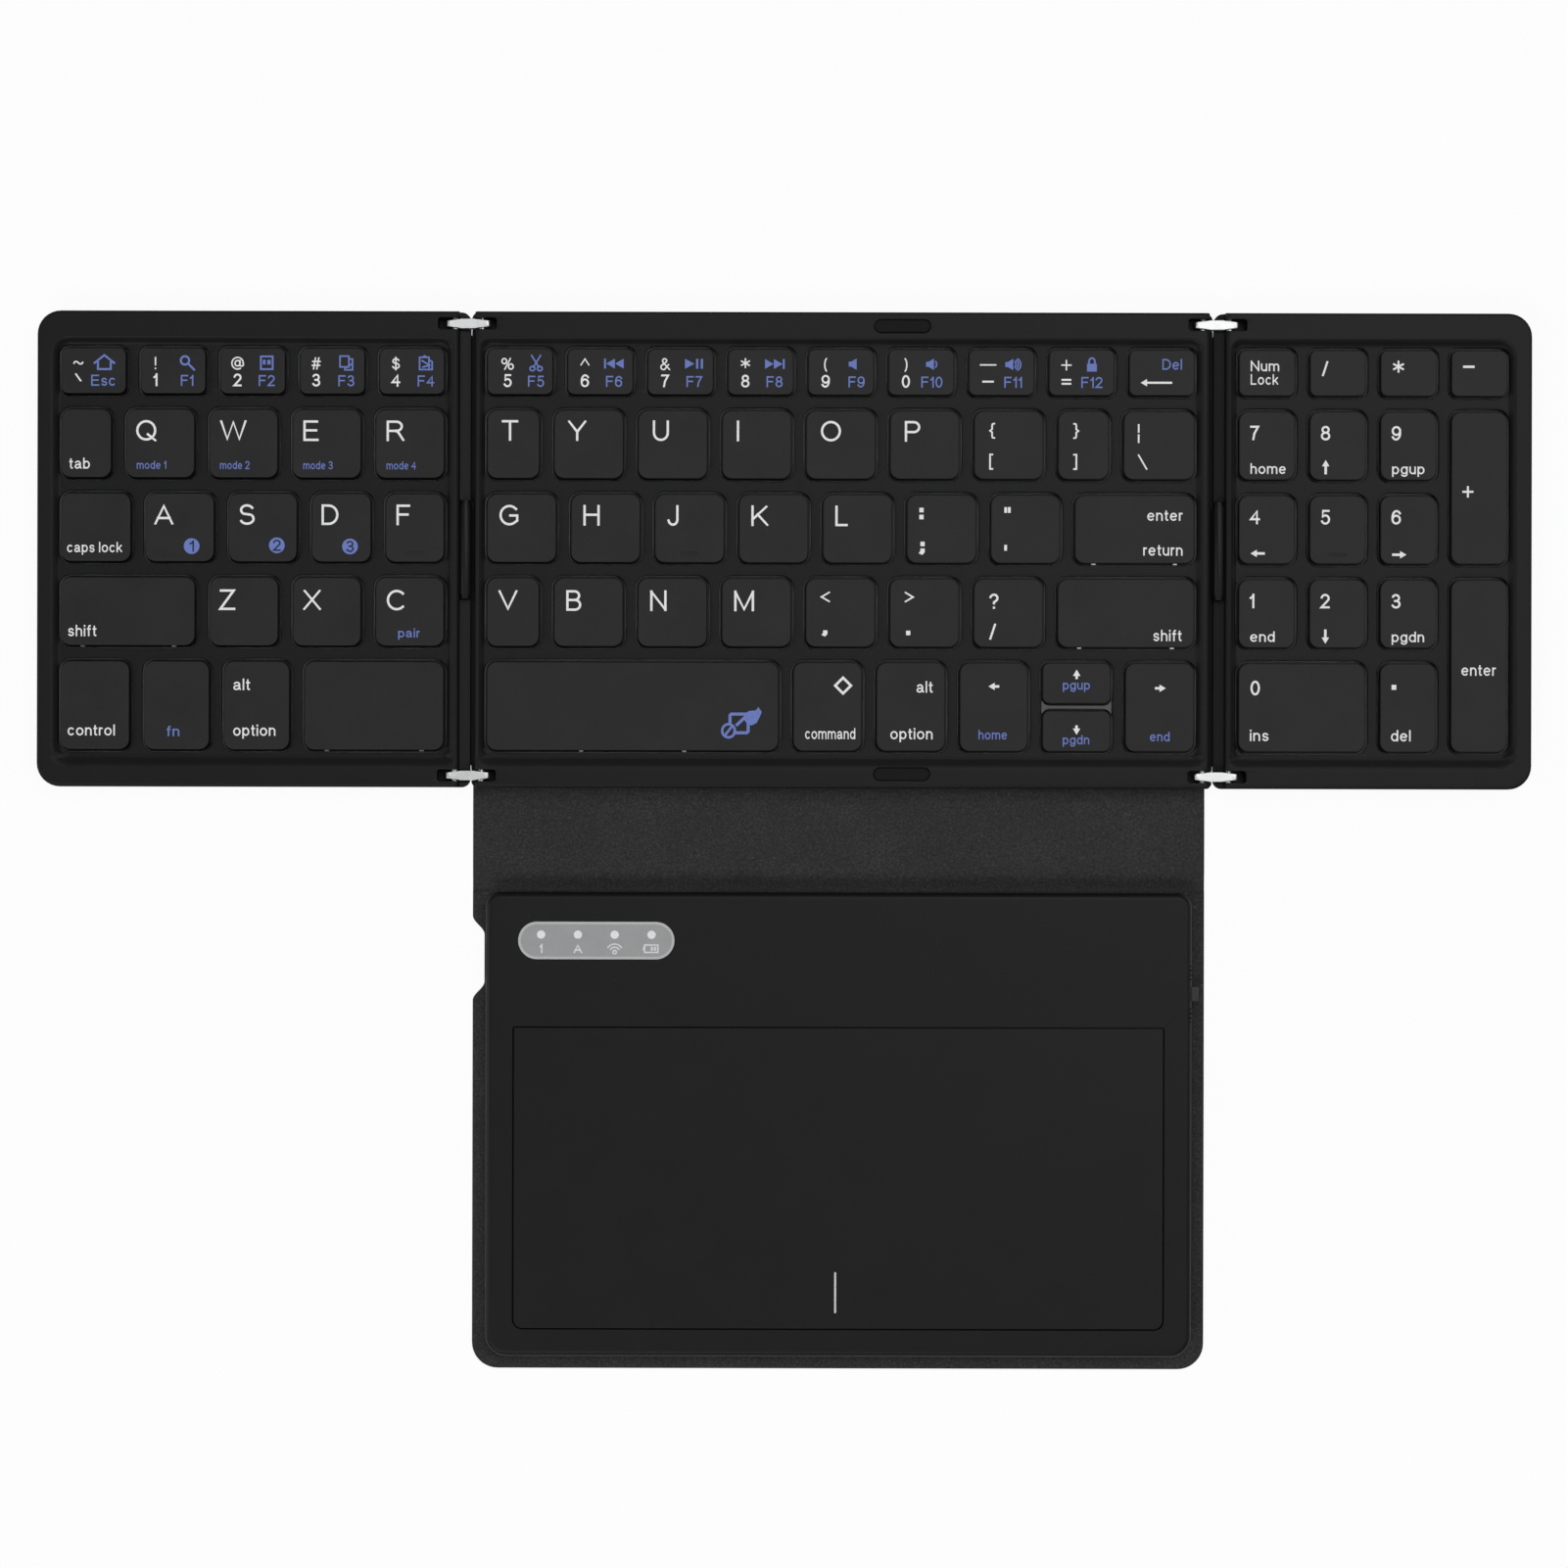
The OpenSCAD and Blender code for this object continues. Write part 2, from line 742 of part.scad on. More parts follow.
module right_scissor_frames() color([0.8, 0.8, 0.8]) scissor_frames(right_keys);

module right_cable_sleeve() color([0.2, 0.2, 0.2]) cable_sleeve();

module right_feet() color([0.08, 0.08, 0.08]) feet(right_w);

module right_screws() color([0.7, 0.7, 0.72]) screw_set(side_screws(right_w));

// ---- leather spine and cover ----

module leather_spine() color([0.16, 0.16, 0.16]) {
    x = leather_w / 2;
    block([cover_x - x, case_crease_y, 0], [cover_x + x, front_crease_y, leather_t]);
    for (y = [case_crease_y, front_crease_y])
        translate([cover_x - x, y, crease_z])
            rotate([0, 90, 0]) cylinder(r = leather_t / 2, h = leather_w);
}

// Cut-out in the leather's left edge that leaves the charging socket free, with S-shaped ends
module socket_notch() {
    x = cover_x - leather_w / 2;
    end = [for (i = [0:notch_steps])
        [x + notch_depth * (1 + cos(180 * i / notch_steps)) / 2,
         notch_half_l + notch_end_l * i / notch_steps]];
    translate([0, socket_y, -past]) linear_extrude(leather_t + 2 * past)
        polygon(concat(end, [[x - past, end[notch_steps][1]], [x - past, -end[notch_steps][1]]],
                       [for (i = [notch_steps:-1:0]) [end[i][0], -end[i][1]]]));
}

module leather_cover() color([0.16, 0.16, 0.16]) {
    x = leather_w / 2;
    difference() {
        slab(cover_x - x, cover_x + x, case_front_y - leather_margin,
             case_crease_y - leather_t / 2 - crease_gap, [leather_r, leather_r, crease_r, crease_r],
             0, leather_t);
        socket_notch();
    }
}

// ---- touchpad case ----

// One half of the case, with its outer edge stepped at the far end from the parting line
module case_half(z0, z1, step_at_top) {
    e = case_step;
    slab(case_x0, case_x1, case_front_y, case_rear_y, case_r, z0 + (step_at_top ? 0 : e),
         z1 - (step_at_top ? e : 0));
    slab(case_x0 + e, case_x1 - e, case_front_y + e, case_rear_y - e, [for (v = case_r) v - e],
         z0, z1);
}

module case_cavity() {
    w = case_wall;
    block([case_x0 + w, case_front_y + w, case_z + floor_t],
          [case_x1 - w, case_rear_y - w, case_top_z - case_plate_t]);
}

// Rounded bar along X, used for the charging socket and its opening
module socket_shape(length, grow) {
    h = socket_h / 2 + grow;
    w = socket_w / 2 + grow;
    rotate([90, 0, 90]) linear_extrude(length) {
        square([2 * (w - h), 2 * h], center = true);
        for (s = [-1, 1]) translate([s * (w - h), 0]) circle(h);
    }
}

module socket_opening() {
    translate([case_x0 - past, socket_y, socket_z])
        socket_shape(case_wall + 2 * past, socket_clear);
}

// Slot for the power switch, in a shallow recess with three grip ribs at each end
module switch_opening() {
    l = knob_w / 2 + switch_travel + knob_gap;
    h = knob_h / 2 + knob_gap;
    block([case_x1 - case_wall - past, switch_y - l, switch_z - h],
          [case_x1 + past, switch_y + l, switch_z + h]);
    difference() {
        block([case_x1 - recess_in, switch_y - recess_half_l, case_z + recess_z[0]],
              [case_x1 + past, switch_y + recess_half_l, case_z + recess_z[1]]);
        for (side = [-1, 1], i = [0:2])
            translate([0, switch_y + side * (rib_first + rib_pitch * i), 0])
                block([case_x1 - 2 * recess_in, -rib_t / 2, case_z],
                      [case_x1 + 2 * past, rib_t / 2, case_top_z]);
    }
}

module window_pill(grow, z0, z1) {
    w = window_size[0] / 2 + grow;
    h = window_size[1] / 2 + grow;
    slab(window[0] - w, window[0] + w, window[1] - h, window[1] + h, round_ends(h), z0, z1);
}

module led_places() {
    for (i = [0:3])
        translate([window[0] + (i - 1.5) * led_pitch, window[1] + led_y, 0]) children();
}

module pad_case_top() color([0.11, 0.11, 0.115]) {
    g = touch_gap;
    difference() {
        case_half(case_split_z, case_top_z, true);
        case_cavity();
        slab(cover_x - touch_w / 2 - g, cover_x + touch_w / 2 + g, touch_front_y - g,
             touch_rear_y + g, [for (v = touch_r) v + g], case_split_z, case_top_z + past);
        window_pill(window_proud, case_top_z - window_sunk, case_top_z + past);
        led_places()
            translate([0, 0, case_split_z]) cylinder(r = led_r + led_clear, h = case_t);
        socket_opening();
        switch_opening();
    }
}

module pad_case_bottom() color([0.11, 0.11, 0.115]) {
    difference() {
        case_half(case_z, case_split_z, false);
        case_cavity();
        socket_opening();
        switch_opening();
    }
    // posts under the main board
    for (x = post_x)
        translate([cover_x + x, case_rear_y - post_in, case_z + floor_t])
            cylinder(r = post_r, h = main_board_z - case_z - floor_t);
}

module touch_surface() color([0.09, 0.09, 0.095]) {
    slab(cover_x - touch_w / 2, cover_x + touch_w / 2, touch_front_y, touch_rear_y,
         touch_r, glass_top_z - glass_t, glass_top_z);
}

module touch_board() color([0.05, 0.25, 0.15]) {
    out = touch_board_out;
    slab(cover_x - touch_w / 2 - out, cover_x + touch_w / 2 + out, touch_front_y - out,
         touch_rear_y + out, [out, out, out, out], touch_board_z, glass_top_z - glass_t);
}

module main_board() color([0.05, 0.25, 0.15]) {
    top = main_board_z + board_t;
    x0 = case_x0 + case_wall + main_board_gap;
    x1 = case_x1 - case_wall - main_board_gap;
    g = socket_clear;
    difference() {
        block([x0, case_rear_y - main_board_y[0], main_board_z],
              [x1, case_rear_y - main_board_y[1], top]);
        block([x0 - past, socket_y - socket_w / 2 - g, main_board_z - past],
              [case_x0 + socket_l + g, socket_y + socket_w / 2 + g, top + past]);
    }
    for (c = chips)
        translate([cover_x + c[0] - c[1] / 2, case_rear_y - chip_in, top]) cube([c[1], c[2], chip_t]);
    // housing of the slide switch
    block([x1 - switch_body[0], switch_y - switch_body[2], top],
          [x1 - switch_body[1], switch_y + switch_body[2], case_top_z - case_plate_t - knob_gap]);
}

module battery() color([0.75, 0.75, 0.78]) {
    slab(cover_x + battery_x[0], cover_x + battery_x[1], touch_front_y + battery_y[0],
         touch_front_y + battery_y[1], [battery_r, battery_r, battery_r, battery_r],
         battery_z, battery_z + battery_t);
}

module charging_socket() color([0.75, 0.75, 0.77]) {
    translate([case_x0 + 0.1, socket_y, socket_z]) {
        difference() {
            socket_shape(socket_l, 0);
            translate([-past, 0, 0]) socket_shape(socket_l + past - socket_back, -socket_t);
        }
        block([tongue[0], -tongue[1], -tongue[2]], [socket_l - socket_t, tongue[1], tongue[2]]);
    }
}

module indicator_window() color([0.62, 0.62, 0.62])
    window_pill(0, case_top_z - window_sunk, case_top_z + window_proud);

module indicator_lights() color([0.95, 0.95, 0.92])
    led_places()
        translate([0, 0, main_board_z + board_t])
            cylinder(r = led_r, h = case_top_z - window_sunk - main_board_z - board_t);

module switch_knob() color([0.2, 0.2, 0.21]) {
    root = case_x1 - case_wall - knob_gap;
    block([root, switch_y - knob_w / 2, switch_z - knob_h / 2],
          [case_x1 + knob_proud, switch_y + knob_w / 2, switch_z + knob_h / 2]);
    block([root - knob_root[0], switch_y - knob_root[1] / 2, switch_z - knob_h / 2],
          [root, switch_y + knob_root[1] / 2, switch_z + knob_h / 2]);
}

// ---- keys, one group for each row or large key ----

module left_number_keys() color([0.17, 0.17, 0.17]) key_caps(left_rows[0]);
module left_upper_keys() color([0.17, 0.17, 0.17]) key_caps(left_rows[1]);
module left_home_keys() color([0.17, 0.17, 0.17]) {
    key_caps(left_rows[2]);
    tactile_bar(left_rows[2][4]);
}
module left_lower_keys() color([0.17, 0.17, 0.17]) key_caps(left_rows[3]);
module left_modifier_keys() color([0.17, 0.17, 0.17])
    key_caps([for (i = [0:2]) left_rows[4][i]]);
module left_space_key() color([0.17, 0.17, 0.17]) key_cap(left_rows[4][3]);

module middle_number_keys() color([0.18, 0.18, 0.18]) key_caps(middle_rows[0]);
module middle_upper_keys() color([0.18, 0.18, 0.18]) key_caps(middle_rows[1]);
module middle_home_keys() color([0.18, 0.18, 0.18]) {
    key_caps([for (i = [0:6]) middle_rows[2][i]]);
    tactile_bar(middle_rows[2][2]);
}
module enter_key() color([0.18, 0.18, 0.18]) key_cap(middle_rows[2][7]);
module middle_lower_keys() color([0.18, 0.18, 0.18])
    key_caps([for (i = [0:6]) middle_rows[3][i]]);
module right_shift_key() color([0.18, 0.18, 0.18]) key_cap(middle_rows[3][7]);
module middle_space_key() color([0.18, 0.18, 0.18]) key_cap(middle_rows[4][0]);
module middle_arrow_keys() color([0.18, 0.18, 0.18])
    key_caps([for (i = [1:6]) middle_rows[4][i]]);

module numpad_lock_keys() color([0.18, 0.18, 0.18]) key_caps(right_rows[0]);
module numpad_upper_keys() color([0.18, 0.18, 0.18]) key_caps(right_rows[1]);
module numpad_home_keys() color([0.18, 0.18, 0.18]) {
    key_caps(right_rows[2]);
    tactile_bar(right_rows[2][1]);
}
module numpad_lower_keys() color([0.18, 0.18, 0.18]) key_caps(right_rows[3]);
module numpad_zero_keys() color([0.18, 0.18, 0.18]) key_caps(right_rows[4]);
module numpad_tall_keys() color([0.18, 0.18, 0.18]) key_caps(right_rows[5]);

middle_top_shell();
middle_bottom_shell();
middle_switch_board();
middle_dome_sheet();
middle_scissor_frames();
middle_screws();
fold_rest_pads();
leather_back();
left_hinge_links();
left_hinge_pins();
left_top_shell();
left_bottom_shell();
left_switch_board();
left_dome_sheet();
left_scissor_frames();
left_cable_sleeve();
left_feet();
left_screws();
right_hinge_links();
right_hinge_pins();
right_top_shell();
right_bottom_shell();
right_switch_board();
right_dome_sheet();
right_scissor_frames();
right_cable_sleeve();
right_feet();
right_screws();
leather_spine();
leather_cover();
pad_case_top();
pad_case_bottom();
touch_surface();
touch_board();
main_board();
battery();
charging_socket();
indicator_window();
indicator_lights();
switch_knob();
left_number_keys();
left_upper_keys();
left_home_keys();
left_lower_keys();
left_modifier_keys();
left_space_key();
middle_number_keys();
middle_upper_keys();
middle_home_keys();
enter_key();
middle_lower_keys();
right_shift_key();
middle_space_key();
middle_arrow_keys();
numpad_lock_keys();
numpad_upper_keys();
numpad_home_keys();
numpad_lower_keys();
numpad_zero_keys();
numpad_tall_keys();
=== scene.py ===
# Folding keyboard with a number pad and a leather cover that carries a touchpad case.
# Lengths are in millimetres in this script and become metres when a mesh is made.
import math

import bmesh
import bpy
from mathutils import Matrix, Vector
from mathutils.geometry import delaunay_2d_cdt


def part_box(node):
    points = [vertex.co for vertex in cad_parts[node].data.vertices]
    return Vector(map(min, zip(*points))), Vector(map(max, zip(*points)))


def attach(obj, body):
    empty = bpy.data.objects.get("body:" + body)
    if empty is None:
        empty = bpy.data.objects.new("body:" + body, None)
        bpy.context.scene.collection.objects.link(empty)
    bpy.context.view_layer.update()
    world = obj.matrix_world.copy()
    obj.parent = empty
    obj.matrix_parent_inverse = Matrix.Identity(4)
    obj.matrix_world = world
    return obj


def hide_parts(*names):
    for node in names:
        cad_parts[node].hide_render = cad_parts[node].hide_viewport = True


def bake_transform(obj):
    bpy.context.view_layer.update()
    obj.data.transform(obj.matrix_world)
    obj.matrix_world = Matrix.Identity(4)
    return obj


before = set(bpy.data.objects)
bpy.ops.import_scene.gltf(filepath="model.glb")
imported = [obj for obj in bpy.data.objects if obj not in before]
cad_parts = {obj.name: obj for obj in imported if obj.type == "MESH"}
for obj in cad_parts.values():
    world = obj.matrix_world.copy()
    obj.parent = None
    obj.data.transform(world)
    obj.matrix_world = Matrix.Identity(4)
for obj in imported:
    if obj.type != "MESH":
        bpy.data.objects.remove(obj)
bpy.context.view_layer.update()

MM = 0.001


# ---- numbers and plan shapes ----

def span(node):
    """Lowest and highest corner of a CAD node, in millimetres."""
    low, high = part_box(node)
    return [c / MM for c in low], [c / MM for c in high]


def smooth(t):
    t = min(max(t, 0.0), 1.0)
    return t * t * (3 - 2 * t)


def drop(d, r):
    """How far a round edge of radius r lies below the flat face, at distance d from the side."""
    if d >= r:
        return 0.0
    d = max(d, 0.0)
    return r - math.sqrt(r * r - (r - d) ** 2)


def drop_steps(r, count):
    """Distances from the side at which a round edge of radius r turns by equal angles."""
    return [r * (1 - math.cos(math.pi / 2 * i / count)) for i in range(count + 1)]


def circle(cx, cy, r, count):
    turn = 2 * math.pi / count
    return [(cx + r * math.cos(turn * i), cy + r * math.sin(turn * i)) for i in range(count)]


def rectangle(x0, y0, x1, y1):
    return [(x0, y0), (x1, y0), (x1, y1), (x0, y1)]


def inside(ring, x, y):
    """Whether a point lies inside a closed ring of points."""
    found = False
    for (x0, y0), (x1, y1) in zip(ring, ring[1:] + ring[:1]):
        if (y0 > y) != (y1 > y) and x < x0 + (x1 - x0) * (y - y0) / (y1 - y0):
            found = not found
    return found


class Plate:
    """Rectangle in plan with radii at its front left, front right, rear right and rear left."""

    def __init__(self, x0, x1, y0, y1, radii):
        self.x0, self.x1, self.y0, self.y1 = x0, x1, y0, y1
        self.radii = radii if isinstance(radii, (list, tuple)) else [radii] * 4
        self.outline = self.ring(0)

    def ring(self, grow, steps=6):
        """The outline moved outward by grow, counter-clockwise."""
        corners = [(self.x0, self.y0, 1, 1, 180), (self.x1, self.y0, -1, 1, 270),
                   (self.x1, self.y1, -1, -1, 0), (self.x0, self.y1, 1, -1, 90)]
        points = []
        for (x, y, sx, sy, first), r in zip(corners, self.radii):
            cx, cy = x + sx * r, y + sy * r
            out = r + grow
            if out <= 0:
                points.append((cx - sx * out, cy - sy * out))
                continue
            for i in range(steps + 1):
                a = math.radians(first + 90 * i / steps)
                points.append((cx + out * math.cos(a), cy + out * math.sin(a)))
        return points

    def reach(self, x, y):
        """Distance outside the outline, negative inside it."""
        right = x > (self.x0 + self.x1) / 2
        rear = y > (self.y0 + self.y1) / 2
        r = self.radii[(2 if rear else 1) if right else (3 if rear else 0)]
        dx = (x - self.x1 if right else self.x0 - x) + r
        dy = (y - self.y1 if rear else self.y0 - y) + r
        if dx > 0 and dy > 0:
            return math.hypot(dx, dy) - r
        return max(dx, dy) - r

    def holds(self, x, y):
        if not (self.x0 < x < self.x1 and self.y0 < y < self.y1):
            return False
        return inside(self.outline, x, y)


# ---- meshes ----

SHARP_ANGLE = math.radians(35)
WELD = 2e-4
SLIVER_AREA = 1e-7


def make_object(name, vertices, faces, materials, indices=None, weld=False):
    """Mesh object from points in millimetres, smooth but for its sharp edges."""
    mesh = bpy.data.meshes.new(name)
    mesh.from_pydata([(x * MM, y * MM, z * MM) for x, y, z in vertices], [], faces)
    for material in materials:
        mesh.materials.append(material)
    if indices:
        mesh.polygons.foreach_set("material_index", indices)
    if weld:
        work = bmesh.new()
        work.from_mesh(mesh)
        bmesh.ops.remove_doubles(work, verts=work.verts, dist=WELD * MM)
        bmesh.ops.dissolve_degenerate(work, edges=work.edges, dist=WELD * MM)
        work.to_mesh(mesh)
        work.free()
    mesh.polygons.foreach_set("use_smooth", [True] * len(mesh.polygons))
    mesh.set_sharp_from_angle(angle=SHARP_ANGLE)
    made = bpy.data.objects.new(name, mesh)
    bpy.context.scene.collection.objects.link(made)
    made.modifiers.new("Normals", "WEIGHTED_NORMAL").keep_sharp = True
    return made


def terrace_mesh(rings, lines, zone, heights):
    """Closed solid between two height fields over a plan cut up by rings and lines.

    zone(x, y) gives None or the names of the top and bottom levels, and heights[name](x, y)
    gives a level's height. Where two neighbours differ in a level, a wall joins them.
    """
    points, edges, known = [], [], {}

    def point(p):
        key = (round(p[0], 4), round(p[1], 4))
        if key not in known:
            known[key] = len(points)
            points.append(Vector(p))
        return known[key]

    for path in [ring + ring[:1] for ring in rings] + lines:
        ids = [point(p) for p in path]
        edges += [(a, b) for a, b in zip(ids, ids[1:]) if a != b]
    flat, _, triangles, *_ = delaunay_2d_cdt(points, edges, [], 0, 1e-4)

    kept, owner = [], {}
    for face in triangles:
        a, b, c = (flat[i] for i in face)
        area = (b - a).cross(c - a)
        levels = zone((a.x + b.x + c.x) / 3, (a.y + b.y + c.y) / 3)
        if levels is None or abs(area) < SLIVER_AREA:
            continue
        ids = list(face) if area > 0 else list(face)[::-1]
        for i in range(3):
            owner[(ids[i], ids[(i + 1) % 3])] = len(kept)
        kept.append((ids, levels))

    vertices, number, faces = [], {}, []

    def vertex(i, level):
        if (i, level) not in number:
            x, y = flat[i]
            number[(i, level)] = len(vertices)
            vertices.append((x, y, heights[level](x, y)))
        return number[(i, level)]

    def wall(u, v, low, high):
        faces.append([vertex(u, low), vertex(v, low), vertex(v, high), vertex(u, high)])

    for ids, (top, bottom) in kept:
        faces.append([vertex(i, top) for i in ids])
        faces.append([vertex(i, bottom) for i in reversed(ids)])
    for (u, v), me in owner.items():
        top, bottom = kept[me][1]
        other = owner.get((v, u))
        if other is None:
            wall(u, v, bottom, top)
        elif other > me:
            other_top, other_bottom = kept[other][1]
            if other_top != top:
                wall(u, v, other_top, top)
            if other_bottom != bottom:
                wall(u, v, bottom, other_bottom)
    return vertices, faces


def terrace(name, rings, lines, zone, heights, material):
    return make_object(name, *terrace_mesh(rings, lines, zone, heights), [material], weld=True)


def flat_at(z):
    """Height field that is flat at z."""
    return lambda x, y: z


def rounded(plate, z, r, up=1):
    """Height field at z that a round edge of radius r turns up or down at a plate's outline."""
    return lambda x, y: z + up * drop(-plate.reach(x, y), r)


def loft(rings, paint=None):
    """Closed solid through rings of equal length; paint is a material index for each ring."""
    count, last = len(rings[0]), len(rings) - 1
    paint = paint or [0] * len(rings)
    vertices = [point for ring in rings for point in ring]
    faces, indices = [list(range(count))[::-1]], [paint[0]]
    for k in range(last):
        low, high = k * count, (k + 1) * count
        for i in range(count):
            j = (i + 1) % count
            faces.append([low + i, low + j, high + j, high + i])
            indices.append(paint[k])
    faces.append([last * count + i for i in range(count)])
    indices.append(paint[-1])
    return vertices, faces, indices


def plate_loft(plate, profile, steps=6, paint=None):
    """Loft of a plate's outline through (inset, z) pairs."""
    return loft([[(x, y, z) for x, y in plate.ring(-inset, steps)] for inset, z in profile], paint)


def joined(parts):
    """One vertex, face and index list from several."""
    vertices, faces, indices = [], [], []
    for v, f, m in parts:
        faces += [[i + len(vertices) for i in face] for face in f]
        vertices += v
        indices += m
    return vertices, faces, indices


# ---- materials ----

WHITE, BLACK = (1, 1, 1, 1), (0, 0, 0, 1)


def linear(value):
    c = value / 255
    return c / 12.92 if c <= 0.04045 else ((c + 0.055) / 1.055) ** 2.4


def tone(red, green=None, blue=None):
    """Linear colour from sRGB values of 0 to 255."""
    green = red if green is None else green
    blue = red if blue is None else blue
    return (linear(red), linear(green), linear(blue), 1.0)


class Finish:
    """A node material around one Principled shader, with textures in object space."""

    def __init__(self, name, **sockets):
        self.material = bpy.data.materials.new(name)
        self.material.use_nodes = True
        self.tree = self.material.node_tree
        self.shader = self.tree.nodes["Principled BSDF"]
        self.where = self.tree.nodes.new("ShaderNodeTexCoord").outputs["Object"]
        for key, value in sockets.items():
            self.shader.inputs[key.replace("_", " ")].default_value = value

    def node(self, kind, **settings):
        made = self.tree.nodes.new(kind)
        for key, value in settings.items():
            setattr(made, key, value)
        return made

    def link(self, source, target):
        self.tree.links.new(source, target)

    def stretched(self, scale):
        made = self.node("ShaderNodeMapping")
        made.inputs["Scale"].default_value = scale
        self.link(self.where, made.inputs["Vector"])
        return made.outputs["Vector"]

    def noise(self, size, detail=3.0, rough=0.55, where=None):
        """Noise whose blobs are about this many millimetres across."""
        made = self.node("ShaderNodeTexNoise")
        made.inputs["Scale"].default_value = 1 / (size * MM)
        made.inputs["Detail"].default_value = detail
        made.inputs["Roughness"].default_value = rough
        self.link(where or self.where, made.inputs["Vector"])
        return made.outputs["Fac"]

    def cells(self, size, feature="DISTANCE_TO_EDGE"):
        made = self.node("ShaderNodeTexVoronoi", feature=feature)
        made.inputs["Scale"].default_value = 1 / (size * MM)
        self.link(self.where, made.inputs["Vector"])
        return made.outputs["Distance"]

    def ramp(self, source, *stops):
        """Colour ramp with (place, colour) stops."""
        made = self.node("ShaderNodeValToRGB")
        elements = made.color_ramp.elements
        while len(elements) < len(stops):
            elements.new(0.5)
        for element, (place, colour) in zip(elements, stops):
            element.position = place
            element.color = colour
        self.link(source, made.inputs["Fac"])
        return made.outputs["Color"]

    def math(self, operation, first, second):
        made = self.node("ShaderNodeMath", operation=operation)
        for socket, value in zip(made.inputs, (first, second)):
            if isinstance(value, (int, float)):
                socket.default_value = value
            else:
                self.link(value, socket)
        return made.outputs["Value"]

    def mix(self, factor, first, second, blend="MIX"):
        made = self.node("ShaderNodeMix", data_type="RGBA", blend_type=blend)
        for socket, value in zip((made.inputs[0], made.inputs[6], made.inputs[7]),
                                 (factor, first, second)):
            if isinstance(value, (int, float, tuple)):
                socket.default_value = value
            else:
                self.link(value, socket)
        return made.outputs[2]

    def specks(self, base, spacing, radii, patches, limits, strength, value):
        """Pale round specks on a base colour, where a noise of patches is high."""
        dot = self.ramp(self.cells(spacing, "F1"), (radii[0], WHITE), (radii[1], BLACK))
        rare = self.ramp(patches, (limits[0], BLACK), (limits[1], WHITE))
        factor = self.math("MULTIPLY", self.math("MULTIPLY", dot, rare), strength)
        return self.mix(factor, base, tone(value))

    def bump(self, height, depth, strength=1.0):
        made = self.node("ShaderNodeBump")
        made.inputs["Distance"].default_value = depth * MM
        made.inputs["Strength"].default_value = strength
        self.link(height, made.inputs["Height"])
        return made.outputs["Normal"]

    def colour(self, source):
        self.link(source, self.shader.inputs["Base Color"])

    def rough(self, source, low, high):
        made = self.node("ShaderNodeMapRange")
        made.inputs["To Min"].default_value = low
        made.inputs["To Max"].default_value = high
        self.link(source, made.inputs["Value"])
        self.link(made.outputs["Result"], self.shader.inputs["Roughness"])

    def normal(self, source):
        self.link(source, self.shader.inputs["Normal"])


def grey(value, factor):
    """Two tones round a grey, as darker and lighter."""
    return tone(value * (1 - factor)), tone(value * (1 + factor))


def moulded(name, value, spread=0.06, roughness=(0.45, 0.6), specular=0.3, grain=0.12,
            depth=0.006, tint=(1.0, 1.0, 1.0), speck=0.0):
    """Moulded plastic: soft blotches, a fine spark-eroded grain and a few pale specks of dust."""
    f = Finish(name, Specular_IOR_Level=specular)
    blotch = f.noise(9.0, 4.0)
    fine = f.noise(grain, 2.0)
    dark, light = (tuple(c * t for c, t in zip(g[:3], tint)) + (1.0,) for g in grey(value, spread))
    base = f.ramp(f.mix(0.35, blotch, fine), (0.3, dark), (0.7, light))
    if speck:
        base = f.specks(base, 1.9, (0.03, 0.055), f.noise(2.6, 0.0), (0.62, 0.66), speck, 118)
    f.colour(base)
    f.rough(f.mix(0.5, blotch, fine), *roughness)
    f.normal(f.bump(fine, depth))
    return f.material


def metal(name, value, roughness):
    """Satin metal with fine brush lines along X."""
    f = Finish(name, Metallic=1.0)
    lines = f.noise(0.5, 3.0, where=f.stretched((1.0, 12.0, 12.0)))
    stain = f.noise(3.0, 3.0)
    dark, light = grey(value, 0.06)
    f.colour(f.ramp(f.mix(0.5, lines, stain), (0.3, dark), (0.7, light)))
    f.rough(lines, *roughness)
    f.normal(f.bump(lines, 0.004))
    return f.material


def leather_finish():
    """Fine-grained black leather with creased cells, painted shade in their valleys, a worn bloom
    and tiny pale specks.
    """
    f = Finish("leather_black", Specular_IOR_Level=0.18)
    fine = f.noise(0.5, 4.0, 0.65)
    pebble = f.cells(0.75)
    wide = f.noise(16.0, 5.0)
    height = f.math("ADD", f.math("MULTIPLY", pebble, 0.8), f.math("MULTIPLY", fine, 0.5))
    base = f.ramp(f.mix(0.8, wide, fine), (0.3, tone(26)), (0.5, tone(42)), (0.7, tone(62)))
    # painted shade: the colour is darkened in the valleys between the grain's cells
    valley_shade = f.ramp(pebble, (0.0, tone(170)), (0.16, WHITE))
    base = f.mix(0.6, base, f.mix(1.0, base, valley_shade, "MULTIPLY"))
    f.colour(f.specks(base, 2.3, (0.05, 0.085), f.noise(2.0, 2.0), (0.58, 0.63), 0.35, 120))
    f.rough(f.mix(0.5, wide, fine), 0.5, 0.72)
    f.normal(f.bump(height, 0.07, 0.8))
    return f.material


def print_ink(name, colour):
    """Printed ink: slightly uneven cover over the plastic's grain."""
    f = Finish(name, Specular_IOR_Level=0.25)
    cover = f.noise(0.35, 3.0)
    worn = tuple(c * 0.86 for c in colour[:3]) + (1.0,)
    f.colour(f.ramp(cover, (0.32, worn), (0.6, colour)))
    f.rough(cover, 0.5, 0.7)
    f.normal(f.bump(cover, 0.004))
    return f.material


